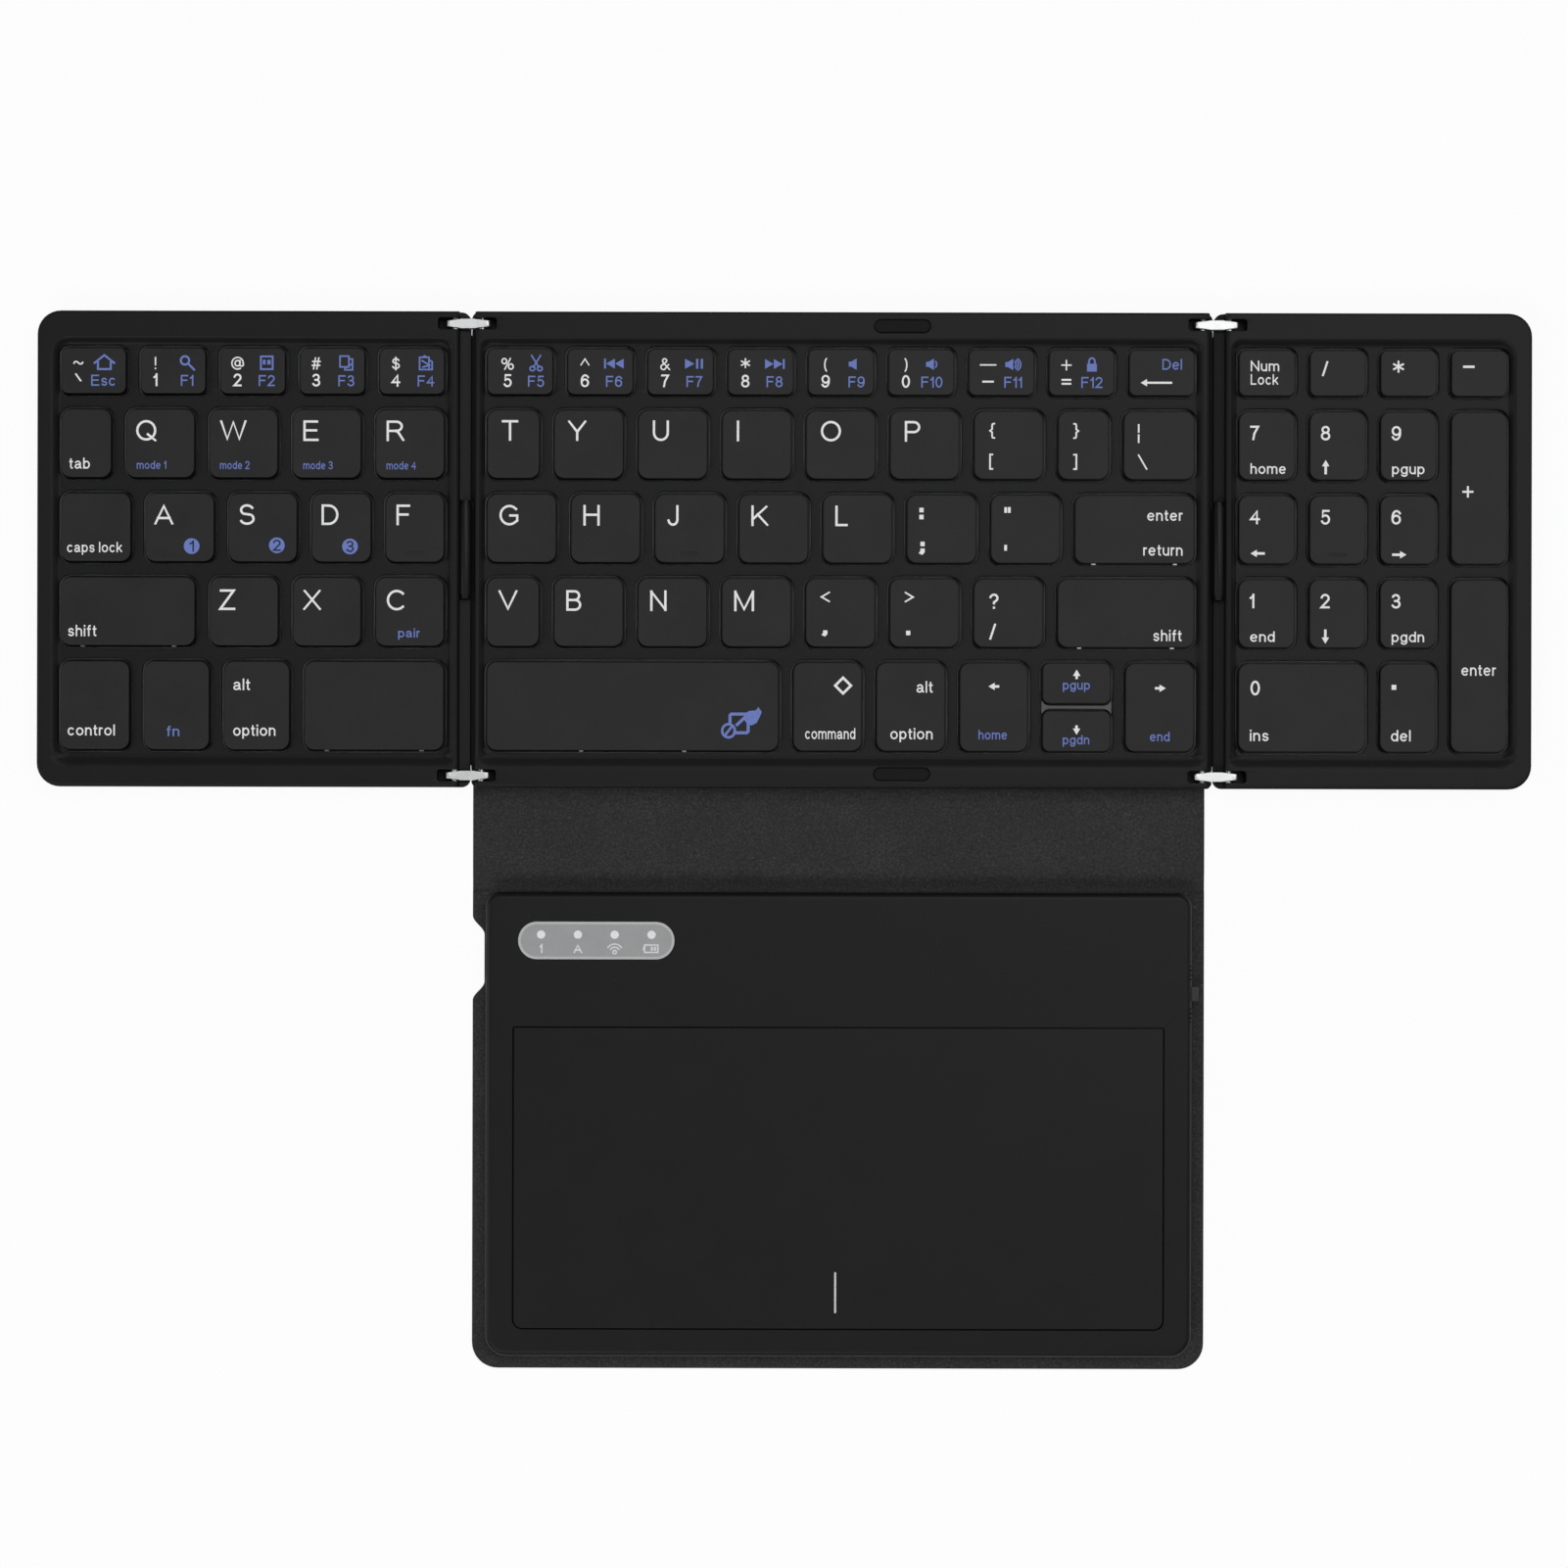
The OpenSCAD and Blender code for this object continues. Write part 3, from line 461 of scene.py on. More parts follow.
def circuit(name):
    """Green circuit board with copper lines under the lacquer."""
    f = Finish(name, Specular_IOR_Level=0.5)
    bricks = f.node("ShaderNodeTexBrick")
    bricks.inputs["Scale"].default_value = 1 / (6 * MM)
    bricks.inputs["Mortar Size"].default_value = 0.04
    bricks.inputs["Color1"].default_value = (0.008, 0.07, 0.03, 1)
    bricks.inputs["Color2"].default_value = (0.01, 0.085, 0.038, 1)
    bricks.inputs["Mortar"].default_value = (0.03, 0.16, 0.06, 1)
    f.link(f.where, bricks.inputs["Vector"])
    f.colour(bricks.outputs["Color"])
    f.rough(f.noise(1.2), 0.25, 0.4)
    f.normal(f.bump(bricks.outputs["Fac"], 0.02))
    return f.material


def frosted(name, value):
    """Printed window film: pale grey, satin, with a soft cloudy variation."""
    f = Finish(name, Specular_IOR_Level=0.4)
    cloud = f.noise(3.0, 4.0)
    fine = f.noise(0.2, 2.0)
    dark, light = grey(value, 0.025)
    f.colour(f.ramp(f.mix(0.5, cloud, fine), (0.3, dark), (0.7, light)))
    f.rough(cloud, 0.32, 0.45)
    f.normal(f.bump(fine, 0.004))
    return f.material


panel_plastic = moulded("panel_plastic", 23, roughness=(0.4, 0.5), specular=0.12, speck=0.2)
case_plastic = moulded("case_plastic", 20, roughness=(0.38, 0.48), specular=0.14, grain=0.09,
                       depth=0.004, speck=0.25)
touch_plastic = moulded("touch_plastic", 22, roughness=(0.36, 0.44), specular=0.14, grain=0.07,
                        depth=0.003)
key_matte = moulded("key_matte", 36, spread=0.1, roughness=(0.45, 0.58), specular=0.15, grain=0.3,
                    depth=0.012, tint=(1.0, 0.99, 0.97), speck=0.3)
# near-black glossy plastic for the key skirts and ledges and for the touch plate's side and flange;
# its near black is partly painted shade in the gaps round them
gloss_and_shade = moulded("gloss_and_shade", 6, spread=0.05, roughness=(0.22, 0.3), specular=0.12,
                    depth=0.001)
key_wire = metal("key_wire", 170, (0.25, 0.35))
# a lighter copy of the panel plastic: painted highlight on the bar between the arrow keys
strip_highlight = moulded("strip_highlight", 58, roughness=(0.25, 0.35), specular=0.35, depth=0.002)
leather = leather_finish()
link_metal = metal("link_metal", 196, (0.36, 0.48))
pin_steel = metal("pin_steel", 190, (0.25, 0.35))
screw_steel = metal("screw_steel", 150, (0.3, 0.42))
socket_metal = metal("socket_metal", 190, (0.25, 0.35))
battery_foil = metal("battery_foil", 200, (0.35, 0.5))
board = circuit("circuit_board")
dome_rubber = moulded("dome_rubber", 150, roughness=(0.5, 0.65), tint=(0.98, 1.0, 1.02))
scissor_plastic = moulded("scissor_plastic", 205, roughness=(0.4, 0.5))
sleeve_plastic = moulded("sleeve_plastic", 20, roughness=(0.3, 0.42), specular=0.15, depth=0.003,
                         tint=(0.97, 1.0, 1.08))
pad_rubber = moulded("pad_rubber", 18, roughness=(0.6, 0.75), specular=0.12, depth=0.01)
knob_plastic = moulded("knob_plastic", 34, roughness=(0.35, 0.5), specular=0.3)
window_film = frosted("window_film", 150)
# a lighter copy of the window film for the pane's rounded edge: painted highlight
window_rim_highlight = frosted("window_rim_highlight", 178)
window_light = frosted("window_light", 225)
ink_white = print_ink("ink_white", tone(236, 236, 234))
ink_blue = print_ink("ink_blue", tone(108, 125, 192))
ink_grey = print_ink("ink_grey", tone(205))
ink_window = print_ink("ink_window", tone(214))


# ---- CAD nodes that stay ----

def dress_nodes(names, material, bevel=0.0):
    """Gives CAD nodes a finish, and rounds their edges by a bevel in millimetres."""
    for name in names:
        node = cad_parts[name]
        if not node.material_slots:
            node.data.materials.append(material)
        for slot in node.material_slots:
            slot.material = material
        if bevel:
            node.modifiers.new("Weld", "WELD").merge_threshold = 1e-6
            round_off = node.modifiers.new("Bevel", "BEVEL")
            round_off.width = bevel * MM
            round_off.segments = 3
            round_off.limit_method = "ANGLE"
            round_off.angle_limit = SHARP_ANGLE
            round_off.harden_normals = False


def dress_cad():
    sides, panels = ("left", "right"), ("left", "middle", "right")
    dress_nodes([s + "_hinge_pins" for s in sides], pin_steel, 0.1)
    dress_nodes([s + "_cable_sleeve" for s in sides], sleeve_plastic, 0.1)
    dress_nodes([s + "_feet" for s in sides], pad_rubber, 0.08)
    dress_nodes([s + "_screws" for s in panels], screw_steel, 0.05)
    dress_nodes([s + "_switch_board" for s in panels] + ["main_board", "touch_board"], board)
    dress_nodes([s + "_dome_sheet" for s in panels], dome_rubber)
    dress_nodes([s + "_scissor_frames" for s in panels], scissor_plastic)
    dress_nodes(["battery"], battery_foil, 0.3)
    dress_nodes(["charging_socket"], socket_metal, 0.08)
    dress_nodes(["indicator_lights"], window_light)


# ---- panels ----

RIM_Z = span("middle_top_shell")[1][2]
SPLIT_Z = span("middle_top_shell")[0][2]
UNDER_Z = span("middle_bottom_shell")[0][2]
PANEL_Y = span("middle_bottom_shell")[1][1]
MIDDLE_EDGE = span("middle_bottom_shell")[1][0]
SIDE_EDGE = span("right_bottom_shell")[0][0]
# wall and sheet thicknesses, and the round edges of the outline, the parting line and the holes
WALL, SHEET_T = 1.6, 0.8
EDGE_R, PARTING_R, LIP_R = 0.6, 0.12, 0.17
OUTER_R = 4.8
FLOOR_Z = UNDER_Z + SHEET_T
# the sunk key tray: its depth, margins round the keys, corner radii and the widths of its slopes
TRAY_DEPTH, TRAY_MARGIN_X, TRAY_MARGIN_Y = 1.1, 1.0, 1.4
TRAY_R, TRAY_OUTER_R = 2.0, 3.0
SLOPE_OUT, SLOPE_IN, FRONT_SLOPE = 0.7, 0.95, 1.4
CEILING_Z = RIM_Z - TRAY_DEPTH - SHEET_T
KEY_CLEAR = 0.3
# corner radius, width of the low facing edge and link slot length beside a slit
MIDDLE_FACING, SIDE_FACING = (1.4, 1.7, 5.2), (1.8, 3.1, 6.5)
SHOULDER_R, LEDGE_DEPTH, LEDGE_FALL = 0.9, 2.8, 0.4
SLOT_Y, SLOT_HALF, SLOT_R, SLOT_OUT, SLOT_FLOOR_Z = 46.05, 1.2, 0.6, 2, 2.4
# solid blocks that carry the hinge pins, and the side walls of the cavity at the slits
BLOCK_REACH, BLOCK_Y = 9.0, 41.9
MIDDLE_SLIT_WALL, SIDE_SLIT_WALL = 2.1, 4.0
SCREW_Y, BOSS_R, BORE_R, BORE_Z = 44.7, 2.1, 1.6, UNDER_Z + 0.9
MIDDLE_SCREWS, SCREW_FROM_SLIT, SCREW_FROM_END = [-60, -10, 60], 12.5, 5.8


def islands(node):
    """Plan boxes of a node's separate solids, from left to right and front to back."""
    work = bmesh.new()
    work.from_mesh(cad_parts[node].data)
    bmesh.ops.remove_doubles(work, verts=work.verts, dist=1e-6)
    seen, boxes = set(), []
    for start in work.verts:
        if start in seen:
            continue
        seen.add(start)
        todo, found = [start], []
        while todo:
            v = todo.pop()
            found.append(v.co / MM)
            for e in v.link_edges:
                other = e.other_vert(v)
                if other not in seen:
                    seen.add(other)
                    todo.append(other)
        xs, ys = [c.x for c in found], [c.y for c in found]
        boxes.append(tuple(round(v, 3) for v in (min(xs), max(xs), min(ys), max(ys))))
    work.free()
    return sorted(boxes)


KEY_NODES = {
    "left": ["left_number_keys", "left_upper_keys", "left_home_keys", "left_lower_keys",
             "left_modifier_keys", "left_space_key"],
    "middle": ["middle_number_keys", "middle_upper_keys", "middle_home_keys", "enter_key",
               "middle_lower_keys", "right_shift_key", "middle_space_key", "middle_arrow_keys"],
    "right": ["numpad_lock_keys", "numpad_upper_keys", "numpad_home_keys", "numpad_lower_keys",
              "numpad_zero_keys", "numpad_tall_keys"],
}
KEYS = {node: islands(node) for nodes in KEY_NODES.values() for node in nodes}
SMALL_KEY_D, WIDE_KEY_W = 10.0, 20.0
KEY_R, SMALL_KEY_R = 2.3, 1.7


def key_plate(bounds, grow=0.0):
    x0, x1, y0, y1 = bounds
    r = (SMALL_KEY_R if y1 - y0 < SMALL_KEY_D else KEY_R) + grow
    return Plate(x0 - grow, x1 + grow, y0 - grow, y1 + grow, r)


def corner_radii(side, outer, facing):
    """A panel's radii from the front left corner round; the facing ones are beside a slit."""
    return {"left": [outer, facing, facing, outer], "middle": [facing] * 4,
            "right": [facing, outer, outer, facing]}[side]


class Panel:
    """Plan of one keyboard panel: outline, facing edges, tray, key openings, slots and screws."""

    def __init__(self, side):
        self.side = side
        self.middle = side == "middle"
        low, high = span(side + "_bottom_shell")
        self.x0, self.x1 = low[0], high[0]
        ear_r, self.roll, slot_in = MIDDLE_FACING if self.middle else SIDE_FACING
        self.plate = Plate(self.x0, self.x1, -PANEL_Y, PANEL_Y, corner_radii(side, OUTER_R, ear_r))
        # facing edges as (x of the edge, direction into the panel)
        on_right, on_left = (self.x1, -1), (self.x0, 1)
        self.facing = {"left": [on_right], "middle": [on_right, on_left], "right": [on_left]}[side]
        keys = [bounds for node in KEY_NODES[side] for bounds in KEYS[node]]
        x0, x1 = min(k[0] for k in keys), max(k[1] for k in keys)
        y0, y1 = min(k[2] for k in keys), max(k[3] for k in keys)
        self.tray = Plate(x0 - TRAY_MARGIN_X, x1 + TRAY_MARGIN_X, y0 - TRAY_MARGIN_Y,
                          y1 + TRAY_MARGIN_Y, corner_radii(side, TRAY_OUTER_R, TRAY_R))
        self.openings = [key_plate(k, KEY_CLEAR) for k in keys]
        self.slots = []
        for x, into in self.facing:
            near_x, far_x = sorted((x - into * SLOT_OUT, x + into * slot_in))
            self.slots += [Plate(near_x, far_x, y - SLOT_HALF, y + SLOT_HALF, SLOT_R)
                           for y in (-SLOT_Y, SLOT_Y)]
        if self.middle:
            self.cavity = (self.x0 + MIDDLE_SLIT_WALL, self.x1 - MIDDLE_SLIT_WALL)
            self.screws = MIDDLE_SCREWS
        else:
            x, into = self.facing[0]
            end_x = self.x0 if into < 0 else self.x1
            self.cavity = tuple(sorted((x + into * SIDE_SLIT_WALL, end_x - into * WALL)))
            self.screws = [x + into * SCREW_FROM_SLIT, end_x - into * SCREW_FROM_END]
        self.boss_rings = self.screw_rings(BOSS_R, 16)

    def screw_rings(self, r, count):
        return [circle(x, y, r, count) for x in self.screws for y in (-SCREW_Y, SCREW_Y)]

    def in_cavity(self, x, y):
        if not (self.cavity[0] < x < self.cavity[1] and abs(y) < PANEL_Y - WALL):
            return False
        if abs(y) > BLOCK_Y and any(abs(x - edge) < BLOCK_REACH for edge, _ in self.facing):
            return False
        return all(not inside(ring, x, y) for ring in self.boss_rings)

    def cavity_rings(self):
        x0, x1 = self.cavity
        y = PANEL_Y - WALL
        rings = [rectangle(x0, -y, x1, y)]
        for edge, _ in self.facing:
            a, b = max(edge - BLOCK_REACH, x0), min(edge + BLOCK_REACH, x1)
            rings += [rectangle(a, s * BLOCK_Y, b, s * y) for s in (-1, 1)]
        return rings + self.boss_rings

    def relief_rings(self):
        """Plan of the hollows in the middle panel's facing edges, beside the cable sleeves."""
        return [rectangle(edge - into, -RELIEF_Y, edge + into * RELIEF_IN, RELIEF_Y)
                for edge, into in self.facing]

    def roll_steps(self):
        """Distances from a facing edge at which its surface turns."""
        ledge = self.roll - SHOULDER_R
        return [0.3 * ledge, ledge - 0.05] + [ledge + d for d in drop_steps(SHOULDER_R, 6)]

    def roll_drop(self, x):
        """Depth below the rim near the facing edges: a round shoulder, then a low ledge."""
        d = min((x - edge) * into for edge, into in self.facing)
        ledge = self.roll - SHOULDER_R
        if d >= ledge - 0.01:
            return drop(d - ledge, SHOULDER_R)
        return LEDGE_DEPTH + LEDGE_FALL * (1 - max(d, 0.0) / ledge)


# cable sleeves: where their axes lie, the notch for them in the side panels, the hollow for them
# in the middle panel, and the tongue of the side panels' bottom shells that closes the slit
SLEEVE_U = SIDE_EDGE + 0.95
SLEEVE_R, SLEEVE_Z, NOTCH_Y = 1.3, RIM_Z - 1.8, 10.2
NOTCH_END_X = SLEEVE_U + SLEEVE_R + 0.12
RELIEF_IN, RELIEF_Y, RELIEF_Z = 0.45, 10.5, 2.0
TONGUE, TONGUE_IN, TONGUE_Y = 0.23, 0.3, 44.0
rest_low, rest_high = span("fold_rest_pads")
REST_X = (rest_low[0] + rest_high[0]) / 2
REST_HALF_L, REST_HALF_W, REST_Y = (rest_high[0] - rest_low[0]) / 2, 1.35, 45.6
REST_POCKET, REST_GAP = 0.5, 0.08


def pill(cx, cy, half_l, half_w):
    return Plate(cx - half_l, cx + half_l, cy - half_w, cy + half_w, half_w - 0.002)


def rim_rings(plate, r, turns, steps):
    """Outlines where a plate's round edge turns, and then the edge of its parting line."""
    return [plate.ring(-d, steps) for d in drop_steps(r, turns) + drop_steps(PARTING_R, 2)[1:]]


def top_shell(panel):
    plate, tray, middle = panel.plate, panel.tray, panel.middle
    pockets = [pill(REST_X, y, REST_HALF_L, REST_HALF_W) for y in (-REST_Y, REST_Y) if middle]
    holes = panel.openings + panel.slots

    def face(x, y):
        edge = drop(-plate.reach(x, y), EDGE_R)
        roll = panel.roll_drop(x)
        # the tray's slope is wider along its front
        out = SLOPE_OUT + FRONT_SLOPE * smooth(tray.y0 + 1 - y)
        slope = smooth((out - tray.reach(x, y)) / (out + SLOPE_IN))
        lip = max(drop(hole.reach(x, y), LIP_R) for hole in holes + pockets)
        return RIM_Z - (edge ** 4 + roll ** 4) ** 0.25 - TRAY_DEPTH * slope - lip

    def notch(x, y):
        d = abs(x) - SLEEVE_U
        return SLEEVE_Z - (math.sqrt(SLEEVE_R ** 2 - d * d) if 0 <= d < SLEEVE_R else 0.0)

    heights = {
        "face": face, "notch": notch, "pocket": flat_at(RIM_Z - REST_POCKET),
        "parting": rounded(plate, SPLIT_Z, PARTING_R), "ceiling": flat_at(CEILING_Z),
    }

    def zone(x, y):
        if not plate.holds(x, y) or any(hole.holds(x, y) for hole in holes):
            return None
        bottom = "ceiling" if panel.in_cavity(x, y) else "parting"
        if middle:
            if abs(x) > MIDDLE_EDGE - RELIEF_IN and abs(y) < RELIEF_Y:
                return None
            if any(pocket.holds(x, y) for pocket in pockets):
                return "pocket", bottom
        elif abs(y) < NOTCH_Y:
            if abs(x) < SLEEVE_U:
                return None
            if abs(x) < NOTCH_END_X:
                return "notch", bottom
        return "face", bottom

    turns, slopes = 6, 7
    rings = rim_rings(plate, EDGE_R, 4, 8)
    rings += [tray.ring(SLOPE_OUT + FRONT_SLOPE * i / 4, 8) for i in (4, 3, 2, 1)]
    rings += [tray.ring(SLOPE_OUT - (SLOPE_OUT + SLOPE_IN) * i / slopes, 8)
              for i in range(slopes + 1)]
    rings += [hole.ring(d) for hole in holes + pockets for d in drop_steps(LIP_R, 2)]
    rings += panel.cavity_rings()
    lines = [[(edge + into * d, -PANEL_Y - 1), (edge + into * d, PANEL_Y + 1)]
             for edge, into in panel.facing for d in panel.roll_steps()]
    if middle:
        rings += panel.relief_rings()
    else:
        sign = panel.facing[0][1]
        stops = [SIDE_EDGE - 1, SLEEVE_U]
        stops += [SLEEVE_U + SLEEVE_R * math.sin(math.pi / 2 * i / turns)
                  for i in range(1, turns + 1)]
        stops.append(NOTCH_END_X)
        rings += [rectangle(sign * a, -NOTCH_Y, sign * b, NOTCH_Y)
                  for a, b in zip(stops, stops[1:])]
    made = terrace(panel.side + "_top_cover", rings, lines, zone, heights, panel_plastic)
    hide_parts(panel.side + "_top_shell")
    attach(made, panel.side + "_panel")


def bottom_shell(panel):
    plate, middle = panel.plate, panel.middle
    bores = panel.screw_rings(BORE_R, 20)
    heights = {
        "parting": rounded(plate, SPLIT_Z, PARTING_R, -1), "floor": flat_at(FLOOR_Z),
        "slot": flat_at(SLOT_FLOOR_Z), "relief": flat_at(RELIEF_Z),
        "under": rounded(plate, UNDER_Z, EDGE_R), "bore": flat_at(BORE_Z),
    }

    def zone(x, y):
        if not plate.holds(x, y):
            tongue = not middle and SIDE_EDGE - TONGUE < abs(x) < SIDE_EDGE and abs(y) < TONGUE_Y
            return ("relief", "under") if tongue else None
        bottom = "bore" if any(inside(ring, x, y) for ring in bores) else "under"
        if any(slot.holds(x, y) for slot in panel.slots):
            return "slot", bottom
        if middle and abs(x) > MIDDLE_EDGE - RELIEF_IN and abs(y) < RELIEF_Y:
            return "relief", bottom
        return ("floor" if panel.in_cavity(x, y) else "parting"), bottom

    rings = rim_rings(plate, EDGE_R, 4, 8)
    rings += bores + panel.cavity_rings() + [slot.ring(0) for slot in panel.slots]
    if middle:
        rings += panel.relief_rings()
    else:
        edge, into = panel.facing[0]
        rings.append(rectangle(edge - into * TONGUE, -TONGUE_Y, edge + into * TONGUE_IN, TONGUE_Y))
    made = terrace(panel.side + "_bottom_cover", rings, [], zone, heights, panel_plastic)
    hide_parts(panel.side + "_bottom_shell")
    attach(made, panel.side + "_panel")


def rest_pads():
    """Soft pills in the rim that the folded panels come down on."""
    profile = [(0, RIM_Z - REST_POCKET), (0, RIM_Z + 0.2), (0.05, RIM_Z + 0.34),
               (0.16, RIM_Z + 0.42), (0.3, RIM_Z + 0.45)]
    half_l, half_w = REST_HALF_L - REST_GAP, REST_HALF_W - REST_GAP
    parts = [plate_loft(pill(REST_X, y, half_l, half_w), profile, 10) for y in (-REST_Y, REST_Y)]
    made = make_object("rest_pads", *joined(parts)[:2], [pad_rubber])
    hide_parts("fold_rest_pads")
    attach(made, "middle_panel")


def hinge_plates(side):
    """The two hinge links of one side: lens-shaped in plan, square-shouldered on top."""
    low, high = span(side + "_hinge_links")
    cx, cz = (low[0] + high[0]) / 2, (low[2] + high[2]) / 2
    half_l, half_h = (high[0] - low[0]) / 2, (high[2] - low[2]) / 2
    wide, narrow, flat, shoulder_r, edge_r = 1.0, 0.6, 1.2, 0.5, 0.13
    reach = sorted(set(drop_steps(shoulder_r, 4) + drop_steps(half_h, 5) + [half_l - flat]))
    stations = [d - half_l for d in reach] + [half_l - d for d in reversed(reach)]
    parts = []
    for y in (-high[1] + wide, high[1] - wide):
        rings = []
        for x in stations:
            d = half_l - abs(x)
            half_w = narrow + (wide - narrow) * d / (half_l - flat)
            section = Plate(y - half_w, y + half_w, cz - half_h + drop(d, half_h),
                            cz + half_h - drop(d, shoulder_r), edge_r)
            rings.append([(cx + x, a, b) for a, b in section.ring(0, 3)])
        parts.append(loft(rings))
    made = make_object(side + "_hinge_plates", *joined(parts)[:2], [link_metal])
    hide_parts(side + "_hinge_links")
    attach(made, side + "_links")


# ---- keys ----

KEY_Z = span("middle_space_key")[0][2]
# (inset, height below the rim) up a key's side: skirt, sunken glossy ledge, then the top plate
KEY_PROFILE = [(0, RIM_Z - KEY_Z), (0, 2.3), (0.04, 2.2), (0.1, 2.18), (0.24, 2.18), (0.28, 2.1),
               (0.3, 0.3), (0.33, 0.16), (0.4, 0.05), (0.5, 0.01), (0.6, 0.0)]
# the skirt and ledge rings take the near-black gloss plastic: glossy plastic whose near black is
# partly painted shade in the gap round each key
GLOSSY_RINGS = 6
# which key of a row has a raised bar for the finger
TACTILE = {"left_home_keys": 4, "middle_home_keys": 2, "numpad_home_keys": 1}
TACTILE_HALF_L, TACTILE_W, TACTILE_IN = 1.7, 0.5, 1.9
CLIP_APART, CLIP_HALF_W, CLIP_OUT, CLIP_IN = 10.5, 0.45, 0.03, 0.3
CLIP_H, CLIP_TOP_Z = 1.25, RIM_Z - 1.0


def key_parts(bounds):
    """One key cap; a wide one also shows the ends of its stabiliser wire on its front ledge."""
    x0, x1, y0, _ = bounds
    profile = [(inset, RIM_Z - below) for inset, below in KEY_PROFILE]
    paint = [1] * GLOSSY_RINGS + [0] * (len(profile) - GLOSSY_RINGS)
    parts = [plate_loft(key_plate(bounds), profile, 6, paint)]
    if x1 - x0 > WIDE_KEY_W and bounds not in KEYS["numpad_zero_keys"]:
        for side in (-1, 1):
            x = (x0 + x1) / 2 + side * min((x1 - x0) / 3, CLIP_APART)
            clip = Plate(x - CLIP_HALF_W, x + CLIP_HALF_W, y0 + CLIP_OUT, y0 + CLIP_IN, 0.1)
            profile = [(0, CLIP_TOP_Z - CLIP_H), (0, CLIP_TOP_Z - 0.05), (0.05, CLIP_TOP_Z)]
            parts.append(plate_loft(clip, profile, 3, [2] * 3))
    return joined(parts)


def tactile_part(bounds):
    cx, y = (bounds[0] + bounds[1]) / 2, bounds[2] + TACTILE_IN
    plate = Plate(cx - TACTILE_HALF_L, cx + TACTILE_HALF_L, y, y + TACTILE_W, 0.22)
    return plate_loft(plate, [(0, RIM_Z - 0.1), (0, RIM_Z + 0.1), (0.05, RIM_Z + 0.17),
                              (0.14, RIM_Z + 0.2)], 4)


def key_caps(node):
    parts = [key_parts(bounds) for bounds in KEYS[node]]
    if node in TACTILE:
        parts.append(tactile_part(KEYS[node][TACTILE[node]]))
    vertices, faces, indices = joined(parts)
    made = make_object(node + "_caps", vertices, faces, [key_matte, gloss_and_shade, key_wire], indices)
    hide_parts(node)
    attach(made, node)


def arrow_strip():
    """Light grey bar between the two half-height arrow keys, flared into their rounded corners; its
    light grey is a painted highlight where the tray catches light.
    """
    lower, upper = (k for k in KEYS["middle_arrow_keys"] if k[3] - k[2] < SMALL_KEY_D)
    y, half_gap, flare = (lower[3] + upper[2]) / 2, (upper[2] - lower[3]) / 2, 1.4

    def ring(clear):
        right = []
        for d in reversed(drop_steps(SMALL_KEY_R, 8)):
            half = min(half_gap + drop(d, SMALL_KEY_R), flare) - clear
            right.append((lower[1] - d - 0.5 * clear, half))
        left = [(lower[0] + lower[1] - x, half) for x, half in reversed(right)]
        return [(x, y + half) for x, half in reversed(left + right)] + [
            (x, y - half) for x, half in left + right]

    top = RIM_Z - 0.6
    profile = ((0.12, top - 0.9), (0.12, top - 0.05), (0.15, top), (0.2, top + 0.02))
    rings = [[(px, py, z) for px, py in ring(clear)] for clear, z in profile]
    made = make_object("arrow_key_strip", *loft(rings)[:2], [strip_highlight])
    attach(made, "middle_panel")


# ---- printed characters ----

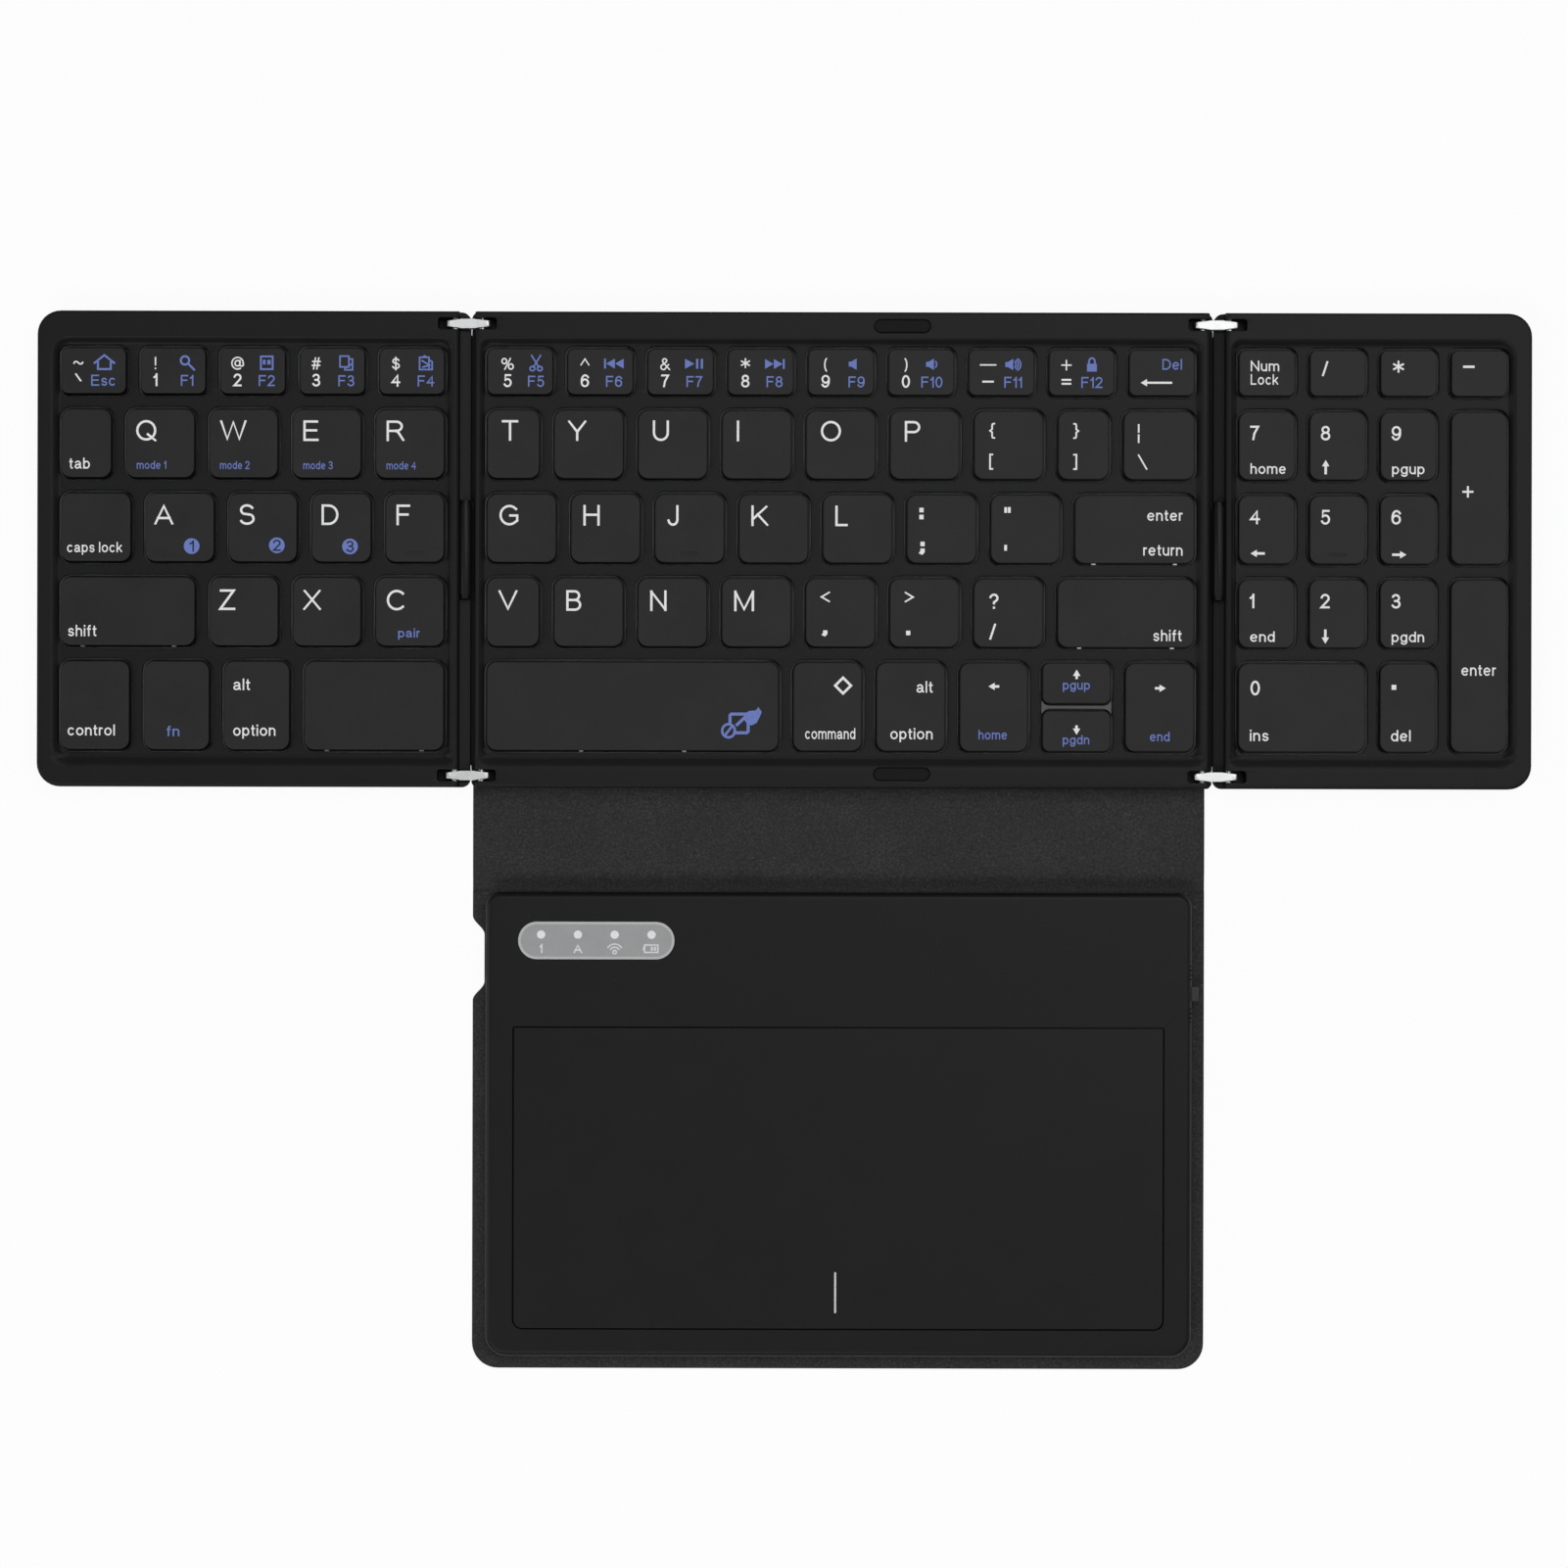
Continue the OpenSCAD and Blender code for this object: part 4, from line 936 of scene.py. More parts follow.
# A glyph is its width and its pen strokes, in tenths of the capital height. A stroke lists points
# and arcs (centre x, centre y, radius x, radius y, first angle, last angle).
GLYPHS = {
    "A": (9.2, [[(0, 0), (4.6, 10), (9.2, 0)], [(1.4, 3), (7.8, 3)]]),
    "B": (7.3, [[(0, 0), (0, 10), (4.2, 10), (4.2, 7.65, 2.5, 2.35, 90, -90), (0, 5.3)],
                [(4.2, 5.3), (4.3, 2.65, 3.0, 2.65, 90, -90), (0, 0)]]),
    "C": (8.9, [[(4.9, 5, 4.9, 5, 46, 314)]]),
    "D": (8.2, [[(0, 0), (0, 10), (3.3, 10), (3.3, 5, 4.9, 5, 90, -90), (0, 0)]]),
    "E": (7.4, [[(7.4, 0), (0, 0), (0, 10), (7.1, 10)], [(0, 5.2), (6.6, 5.2)]]),
    "F": (6.6, [[(0, 0), (0, 10), (6.6, 10)], [(0, 5.2), (5.8, 5.2)]]),
    "G": (9.2, [[(4.9, 5, 4.9, 5, 42, 315), (9.2, 2), (9.2, 4.8), (5.4, 4.8)]]),
    "H": (7.9, [[(0, 0), (0, 10)], [(7.9, 0), (7.9, 10)], [(0, 5.3), (7.9, 5.3)]]),
    "I": (0, [[(0, 0), (0, 10)]]),
    "J": (5.4, [[(5.4, 10), (5.4, 2.7), (2.7, 2.7, 2.7, 2.7, 0, -170)]]),
    "K": (8.2, [[(0, 0), (0, 10)], [(7.7, 10), (0, 2.9)], [(2.9, 5.7), (8.2, 0)]]),
    "L": (6.0, [[(0, 10), (0, 0), (6, 0)]]),
    "M": (9.6, [[(0, 0), (0, 10)], [(0, 10), (4.8, 0), (9.6, 10)], [(9.6, 10), (9.6, 0)]]),
    "N": (7.9, [[(0, 0), (0, 10)], [(0, 10), (7.9, 0)], [(7.9, 0), (7.9, 10)]]),
    "O": (9.8, [[(4.9, 5, 4.9, 5, 0, 360)]]),
    "P": (7.5, [[(0, 0), (0, 10), (4.6, 10), (4.6, 7.3, 2.9, 2.7, 90, -90), (0, 4.6)]]),
    "Q": (9.8, [[(4.9, 5, 4.9, 5, 0, 360)], [(5.8, 2.8), (9.8, -0.5)]]),
    "R": (8.6, [[(0, 0), (0, 10), (4.9, 10), (4.9, 7.5, 2.9, 2.5, 90, -90), (0, 5)],
                [(4.5, 5), (5.9, 4.2), (8.6, 0)]]),
    "S": (7.7, [[(3.95, 7.5, 3.35, 2.5, 28, 235), (4, 2.7, 3.7, 2.7, 55, -152)]]),
    "T": (8.0, [[(0, 10), (8, 10)], [(4, 10), (4, 0)]]),
    "U": (7.8, [[(0, 10), (0, 3.8), (3.9, 3.8, 3.9, 3.8, 180, 360), (7.8, 10)]]),
    "V": (9.2, [[(0, 10), (4.6, 0), (9.2, 10)]]),
    "W": (12.8, [[(0, 10), (3.2, 0), (6.4, 10), (9.6, 0), (12.8, 10)]]),
    "X": (8.6, [[(0, 0), (8.4, 10)], [(0.2, 10), (8.6, 0)]]),
    "Y": (8.8, [[(0, 10), (4.4, 4.3), (8.8, 10)], [(4.4, 4.5), (4.4, 0)]]),
    "Z": (7.8, [[(0.3, 10), (7.5, 10), (0, 0), (7.8, 0)]]),
    "a": (6.5, [[(3, 4.9, 2.7, 2, 155, 0), (5.7, 1.3), (6.5, 0)],
                [(5.7, 4), (2.6, 3.5), (2.1, 1.75, 2.0, 1.75, 100, 270), (3.8, 0.2), (5.7, 2)]]),
    "b": (6.2, [[(0, 0), (0, 10)], [(3.1, 3.45, 3.1, 3.45, 0, 360)]]),
    "c": (6.0, [[(3.1, 3.45, 3.1, 3.45, 50, 310)]]),
    "d": (6.2, [[(6.2, 0), (6.2, 10)], [(3.1, 3.45, 3.1, 3.45, 0, 360)]]),
    "e": (6.4, [[(0.2, 3.6), (6.4, 3.6), (3.2, 3.45, 3.2, 3.45, 0, 312)]]),
    "f": (3.6, [[(1.5, 0), (1.5, 8.2), (3.1, 8.2, 1.6, 1.8, 180, 80)], [(0, 6.7), (3.6, 6.7)]]),
    "g": (6.2, [[(3.1, 3.45, 3.1, 3.45, 0, 360)],
                [(6.2, 6.9), (6.2, -0.6), (3.2, -0.6, 3.0, 2.2, 0, -155)]]),
    "h": (5.8, [[(0, 0), (0, 10)], [(0, 4.2), (2.9, 4.2, 2.9, 2.7, 180, 0), (5.8, 0)]]),
    "i": (0, [[(0, 0), (0, 6.9)], [(0, 9.6), (0, 10)]]),
    "k": (5.8, [[(0, 0), (0, 10)], [(5.4, 6.9), (0, 2.2)], [(2.2, 4.1), (5.8, 0)]]),
    "l": (0, [[(0, 0), (0, 10)]]),
    "m": (9.6, [[(0, 0), (0, 6.9)], [(0, 4.6), (2.4, 4.6, 2.4, 2.3, 180, 0), (4.8, 0)],
                [(4.8, 4.6), (7.2, 4.6, 2.4, 2.3, 180, 0), (9.6, 0)]]),
    "n": (5.8, [[(0, 0), (0, 6.9)], [(0, 4.2), (2.9, 4.2, 2.9, 2.7, 180, 0), (5.8, 0)]]),
    "o": (6.6, [[(3.3, 3.45, 3.3, 3.45, 0, 360)]]),
    "p": (6.2, [[(0, -2.9), (0, 6.9)], [(3.1, 3.45, 3.1, 3.45, 0, 360)]]),
    "r": (3.3, [[(0, 0), (0, 6.9)], [(0, 4), (2.5, 4.1, 2.5, 2.8, 180, 70)]]),
    "s": (5.6, [[(2.85, 5.1, 2.35, 1.8, 25, 235), (2.95, 1.8, 2.55, 1.8, 55, -155)]]),
    "t": (3.4, [[(1.4, 9.2), (1.4, 1.6), (3, 1.6, 1.6, 1.6, 180, 285)], [(0, 6.7), (3.4, 6.7)]]),
    "u": (5.8, [[(0, 6.9), (0, 2.7), (2.9, 2.7, 2.9, 2.7, 180, 360)], [(5.8, 6.9), (5.8, 0)]]),
    "0": (6.4, [[(3.2, 5, 3.2, 5, 0, 360)]]),
    "1": (3.2, [[(0, 7.4), (2, 8.3), (3.2, 10)], [(3.2, 10), (3.2, 0)]]),
    "2": (6.4, [[(3.2, 7.2, 3.1, 2.8, 165, -28), (0, 0), (6.4, 0)]]),
    "3": (6.4, [[(3.1, 7.6, 2.8, 2.4, 155, -90), (2.4, 5.2)],
                [(2.4, 5.2), (3.2, 2.65, 3.2, 2.65, 80, -155)]]),
    "4": (6.9, [[(5.2, 0), (5.2, 10), (0, 3.2), (6.9, 3.2)]]),
    "5": (6.5, [[(6, 10), (1.2, 10), (0.5, 4.8), (3.2, 3.1, 3.3, 3.3, 140, -152)]]),
    "6": (6.5, [[(3.25, 3.15, 3.25, 3.15, 0, 360)], [(3.6, 5.2, 3.6, 4.8, 38, 180), (0, 3.2)]]),
    "7": (6.2, [[(0, 10), (6.2, 10), (2.9, 4.5), (2, 0)]]),
    "8": (6.5, [[(3.25, 7.65, 2.7, 2.35, 0, 360)], [(3.25, 2.7, 3.25, 2.7, 0, 360)]]),
    "9": (6.5, [[(3.25, 6.85, 3.25, 3.15, 0, 360)], [(6.5, 6.8), (2.9, 4.8, 3.6, 4.8, 0, -142)]]),
    "~": (8.2, [[(2, 4.6, 2, 1.6, 175, 35), (6.2, 5.6, 2, 1.6, 215, 355)]]),
    "`": (5.0, [[(0, 10), (5, 4)]]),
    "!": (0, [[(0, 3.4), (0, 10)], [(0, 0), (0, 0.1)]]),
    "@": (10.4, [[(5.2, 5, 5.2, 5.4, 0, 300)], [(5.2, 5, 2.3, 2.5, 0, 360)],
                 [(7.5, 7.4), (7.3, 3.6), (8.9, 3.6, 1.6, 1.2, 200, 355), (10.4, 5)]]),
    "#": (7.4, [[(1.2, 0), (3, 10)], [(4.4, 0), (6.2, 10)], [(0.4, 6.8), (7.4, 6.8)],
                [(0, 3.2), (7, 3.2)]]),
    "$": (6.6, [[(3.4, 7.3, 2.9, 2.1, 20, 235), (3.4, 2.9, 3.2, 2.3, 55, -160)],
                [(3.3, -0.6), (3.3, 10.6)]]),
    "%": (10.6, [[(2.3, 7.5, 2.1, 2.4, 0, 360)], [(8.3, 2.5, 2.1, 2.4, 0, 360)],
                 [(7.8, 10), (2.8, 0)]]),
    "^": (7.4, [[(0, 4.2), (3.7, 10), (7.4, 4.2)]]),
    "&": (8.2, [[(8.2, 0), (2, 6.7), (3.6, 8.2, 1.9, 1.8, 215, -35), (1.6, 4.4),
                 (2.8, 2.4, 2.7, 2.4, 130, 285), (7.2, 4.6)]]),
    "*": (8.4, [[(4.2, 2.2), (4.2, 10)], [(0.6, 4.2), (7.8, 8.0)], [(0.6, 8.0), (7.8, 4.2)]]),
    "(": (2.6, [[(4.6, 4.8, 4.6, 6.6, 120, 240)]]),
    ")": (2.6, [[(-2, 4.8, 4.6, 6.6, 60, -60)]]),
    "_": (13.5, [[(0, 5), (13.5, 5)]]),
    "-": (9.0, [[(0, 5), (9, 5)]]),
    "+": (8.4, [[(0, 5), (8.4, 5)], [(4.2, 0.8), (4.2, 9.2)]]),
    "=": (7.6, [[(0, 6.8), (7.6, 6.8)], [(0, 3.2), (7.6, 3.2)]]),
    "{": (4.4, [[(4.4, 11.2), (2.6, 10.9), (2.1, 9.6), (2.1, 6.4), (0, 5), (2.1, 3.6), (2.1, 0.4),
                 (2.6, -0.9), (4.4, -1.2)]]),
    "}": (4.4, [[(0, 11.2), (1.8, 10.9), (2.3, 9.6), (2.3, 6.4), (4.4, 5), (2.3, 3.6),
                 (2.3, 0.4), (1.8, -0.9), (0, -1.2)]]),
    "[": (3.0, [[(3, 11.2), (0, 11.2), (0, -1.2), (3, -1.2)]]),
    "]": (3.0, [[(0, 11.2), (3, 11.2), (3, -1.2), (0, -1.2)]]),
    "|": (0, [[(0, 6.4), (0, 12.4)], [(0, -2.4), (0, 3.6)]]),
    "\\": (7.2, [[(0, 11), (7.2, -1)]]),
    ":": (0, [[(0, 7.0), (0, 7.2)], [(0, 0), (0, 0.2)]]),
    ";": (0.8, [[(0.8, 7.0), (0.8, 7.2)], [(0.8, 0.4), (0.8, -0.6), (0.2, -1.8)]]),
    "\"": (4.6, [[(0, 6.9), (0, 9.6)], [(4.6, 6.9), (4.6, 9.6)]]),
    "'": (0, [[(0, 6.9), (0, 9.6)]]),
    "<": (7.0, [[(7, 9), (0, 5), (7, 1)]]),
    ">": (7.0, [[(0, 9), (7, 5), (0, 1)]]),
    ",": (0.8, [[(0.8, 0.4), (0.8, -0.6), (0.2, -1.8)]]),
    ".": (0, [[(0, 0), (0, 0.2)]]),
    "?": (6.0, [[(3, 7.4, 3, 2.6, 165, -40), (3, 4.2), (3, 3.4)], [(3, 0), (3, 0.1)]]),
    "/": (4.4, [[(0, -0.4), (4.4, 10.4)]]),
}
SIDE_GAP, WORD_GAP = 0.75, 3.2
INK_Z, INK_DEPTH = RIM_Z - 0.004, 0.016


def pen_points(path):
    """The points of a stroke, with its arcs as short steps."""
    points = []
    for item in path:
        if len(item) == 2:
            points.append(item)
            continue
        cx, cy, rx, ry, first, last = item
        steps = max(2, round(abs(last - first) / 18))
        for i in range(steps + 1):
            a = math.radians(first + (last - first) * i / steps)
            points.append((cx + rx * math.cos(a), cy + ry * math.sin(a)))
    return [p for i, p in enumerate(points) if i == 0 or math.dist(p, points[i - 1]) > 1e-3]


def beyond(start, end, extra):
    """The point that lies past the end of a line by an extra length."""
    stretch = 1 + extra / math.dist(start, end)
    return tuple(a + (b - a) * stretch for a, b in zip(start, end))


def stroke_quads(points, width):
    """Four-cornered pieces of a line of even width, mitred where it turns."""
    closed = math.dist(points[0], points[-1]) < 1e-6
    if closed:
        points = points[:-1]
    else:
        points = [beyond(points[1], points[0], width / 2)] + points[1:-1] + [
            beyond(points[-2], points[-1], width / 2)]
    count = len(points)
    normals = []
    for i in range(count if closed else count - 1):
        (x0, y0), (x1, y1) = points[i], points[(i + 1) % count]
        length = math.hypot(x1 - x0, y1 - y0)
        normals.append(((y0 - y1) / length, (x1 - x0) / length))
    sides = []
    for i, (x, y) in enumerate(points):
        before = normals[i - 1] if closed or i else normals[0]
        after = normals[i] if i < len(normals) else normals[-1]
        turn = max(1 + before[0] * after[0] + before[1] * after[1], 0.3)
        mx, my = ((before[k] + after[k]) / turn * width / 2 for k in (0, 1))
        sides.append(((x + mx, y + my), (x - mx, y - my)))
    pairs = zip(sides, sides[1:] + sides[:1]) if closed else zip(sides, sides[1:])
    return [[a0, b0, b1, a1] for (a0, a1), (b0, b1) in pairs]


def raised(adds, cuts=()):
    """Solid over the union of rings less the cuts, from height 0 to 1."""
    def zone(x, y):
        if any(inside(r, x, y) for r in adds) and not any(inside(r, x, y) for r in cuts):
            return "top", "bottom"
        return None

    heights = {"top": flat_at(1.0), "bottom": flat_at(0.0)}
    return terrace_mesh(list(adds) + list(cuts), [], zone, heights)


glyph_solids = {}


def glyph(character, weight):
    """Vertices, faces and width of a character whose capitals are 10 high."""
    key = (character, weight)
    if key not in glyph_solids:
        wide, strokes = GLYPHS[character]
        lines = [pen_points(path) for path in strokes]
        squeeze = (wide - weight) / wide if wide > weight else 1.0
        lines = [[(x * squeeze + weight / 2, y * (10 - weight) / 10 + weight / 2)
                  for x, y in line] for line in lines]
        low = min(y for line in lines for _, y in line) - weight / 2
        high = max(y for line in lines for _, y in line) + weight / 2
        quads = [[(x, min(max(y, low), high)) for x, y in quad]
                 for line in lines for quad in stroke_quads(line, weight)]
        vertices, faces = raised(quads)
        glyph_solids[key] = vertices, faces, max(wide, weight)
    return glyph_solids[key]


def printed(mesh, x, y, scale_x, scale_y, ink, z=INK_Z):
    """Copies a flat solid on to a surface, as vertices, faces and material indices."""
    vertices, faces = mesh
    return ([(x + vx * scale_x, y + vy * scale_y, z + vz * INK_DEPTH) for vx, vy, vz in vertices],
            faces, [ink] * len(faces))


def text(words, x, y, cap, ink=0, align=0.0, width=None, weight=1.3, z=INK_Z):
    """Words with their baseline at y; align 0 puts their left end at x and 1 their right end."""
    pen, placed = 0.0, []
    for character in words:
        if character == " ":
            pen += WORD_GAP
            continue
        vertices, faces, wide = glyph(character, weight)
        placed.append((vertices, faces, pen))
        pen += wide + 2 * SIDE_GAP
    total = pen - 2 * SIDE_GAP
    scale_y = cap / 10
    scale_x = width / total if width else scale_y
    left = x - align * total * scale_x
    return joined([printed((v, f), left + start * scale_x, y, scale_x, scale_y, ink, z)
                   for v, f, start in placed])


# Marks are functions of a key's left and rear edges. Their x is from the left edge and their
# base is the distance of the baseline or centre from the rear edge.

def word(words, x, base, cap, **style):
    return lambda left, rear: text(words, left + x, rear - base, cap, **style)


def bars(*lines, width=0.4):
    return [quad for line in lines for quad in stroke_quads(pen_points(line), width)]


def frame_line(x0, y0, x1, y1):
    return rectangle(x0, y0, x1, y1) + [(x0, y0)]


def icon(x, base, adds, cuts=(), ink=1, turn=0):
    vertices, faces = raised(adds, cuts)
    c, s = math.cos(math.radians(turn)), math.sin(math.radians(turn))
    solid = ([(vx * c - vy * s, vx * s + vy * c, vz) for vx, vy, vz in vertices], faces)
    return lambda left, rear: printed(solid, left + x, rear - base, 1, 1, ink)


def arrow(x, base, length, turn, width=0.5):
    """White arrow that points right, turned by an angle."""
    tip, half_head = length / 2, 0.75
    neck = tip - half_head * 1.7
    adds = [rectangle(-tip, -width / 2, neck + 0.05, width / 2),
            [(neck, -half_head), (tip, 0), (neck, half_head)]]
    return icon(x, base, adds, ink=0, turn=turn)


def triangle(x0, x1, half):
    return [(x0, -half), (x1, 0), (x0, half)] if x1 > x0 else [(x1, 0), (x0, -half), (x0, half)]


def speaker(waves):
    arcs = [[(0, 0, 0.55 + 0.5 * i, 0.75 + 0.35 * i, -52, 52)] for i in range(waves)]
    return [rectangle(-1.6, -0.5, -0.9, 0.5),
            [(-1.1, -0.5), (0, -1.15), (0, 1.15), (-1.1, 0.5)]] + bars(*arcs, width=0.28)


HOUSE = bars([(-2.0, -0.1), (0, 1.5), (2.0, -0.1)],
             [(-1.3, 0), (-1.3, -1.35), (1.3, -1.35), (1.3, 0)])
MAGNIFIER = bars([(-0.45, 0.45, 0.85, 0.85, 0, 360)], [(0.2, -0.2), (1.4, -1.4)], width=0.42)
SHEET = (bars(frame_line(-1.2, -1.3, 1.2, 1.3), width=0.36)
         + [rectangle(-0.8, -0.35, -0.25, 0.6), rectangle(0.1, -0.35, 0.8, 0.6)])
PAGES = bars(frame_line(-1.3, -0.8, 0.5, 1.4),
             [(0.5, 0.8), (1.25, 0.8), (1.25, -1.4), (-0.3, -1.4), (-0.3, -0.8)],
             [(0.1, -0.9), (1.2, -0.1)], width=0.32)
CLIPBOARD = bars(frame_line(-1.3, -1.3, 0.6, 1.2), [(-0.7, 1.2), (-0.3, 1.5), (0.1, 1.2)],
                 [(0.6, 0.7), (1.25, 0.3), (1.25, -1.3), (0.4, -1.3)],
                 [(-0.8, 0.5), (0.7, -0.4), (-0.6, -0.8)], width=0.32)
SCISSORS = bars([(-0.9, 1.6), (0.55, -0.75)], [(0.9, 1.6), (-0.55, -0.75)],
                [(-0.75, -1.05, 0.5, 0.45, 0, 360)], [(0.75, -1.05, 0.5, 0.45, 0, 360)], width=0.3)
PREVIOUS = [rectangle(-2.05, -1.0, -1.65, 1.0), triangle(0.15, -1.6, 1.0), triangle(1.95, 0.2, 1.0)]
PLAY_PAUSE = [triangle(-1.9, 0.0, 1.0), rectangle(0.35, -1.0, 0.8, 1.0),
              rectangle(1.3, -1.0, 1.75, 1.0)]
NEXT = [triangle(-1.95, -0.2, 1.0), triangle(-0.15, 1.6, 1.0), rectangle(1.65, -1.0, 2.05, 1.0)]
PADLOCK = [rectangle(-1.0, -1.4, 1.0, 0.2)] + bars(
    [(-0.6, 0.1), (-0.6, 0.5), (0, 0.6, 0.6, 0.75, 180, 0), (0.6, 0.1)], width=0.35)
PAD_OFF = (bars([(-2.45, 0.5), (-2.45, 1.9), (-2.2, 2.15), (0.5, 2.15)],
                [(-1.5, -1.65), (0.95, -1.65), (1.25, -1.35), (1.25, 0.4)],
                [(-1.0, 0.0), (0.8, 1.7)], width=0.62)
           + bars([(-2.75, -1.25, 1.3, 1.35, 0, 360)], [(-3.5, -2.2), (-2.0, -0.3)], width=0.5)
           + [[(0.3, 1.2), (1.0, 0.2), (2.0, -0.15), (3.0, 0.4), (3.6, 1.6), (4.0, 2.6),
               (3.3, 3.6), (2.8, 2.9), (1.4, 2.8), (0.5, 2.2)]])
DIAMOND = bars([(0, -1.6), (1.6, 0), (0, 1.6), (-1.6, 0), (0, -1.6)], width=0.5)


def letter(character, x, base=6.75):
    bearing = 0.0 if character in "AVWXY" else 0.15
    return word(character, x + bearing, base, 4.2, weight=1.12)


def number_key(upper, lower, function, picture, x=3.8, function_x=9.75, picture_x=None):
    return [word(upper, x, 4.7, 2.5, align=0.5, weight=1.15),
            word(lower, x, 8.15, 2.6, align=0.5, weight=1.45),
            word(function, function_x, 8.1, 2.25, ink=1, align=0.5),
            icon(picture_x or function_x, 3.35, picture)]


def disc_number(x, base, number):
    """A disc with a number cut out of its middle."""
    wide, strokes = GLYPHS[number]
    scale, weight, disc_r = 0.2, 1.6, 1.6
    digit = [[(px * scale - wide * scale / 2, py * scale - 5 * scale) for px, py in quad]
             for path in strokes for quad in stroke_quads(pen_points(path), weight)]
    return icon(x, base, [circle(0, 0, disc_r, 32)], digit)


def two_signs(upper, lower, x, top_base, low_base, cap=2.7, weight=1.25):
    return [word(upper, x, top_base, cap, weight=weight),
            word(lower, x, low_base, cap, weight=weight)]


def blue_word(words, x, base, cap, width):
    return word(words, x, base, cap, ink=1, width=width)


def mode_word(number):
    return blue_word("mode " + number, 2.5, 12.5, 1.65, 6.0)


def pad_digit(number, below=None, width=None):
    marks = [word(number, 2.5, 6.15, 2.95, weight=1.4)]
    if below:
        marks.append(word(below, 2.6, 13.0, 2.15, width=width))
    return marks


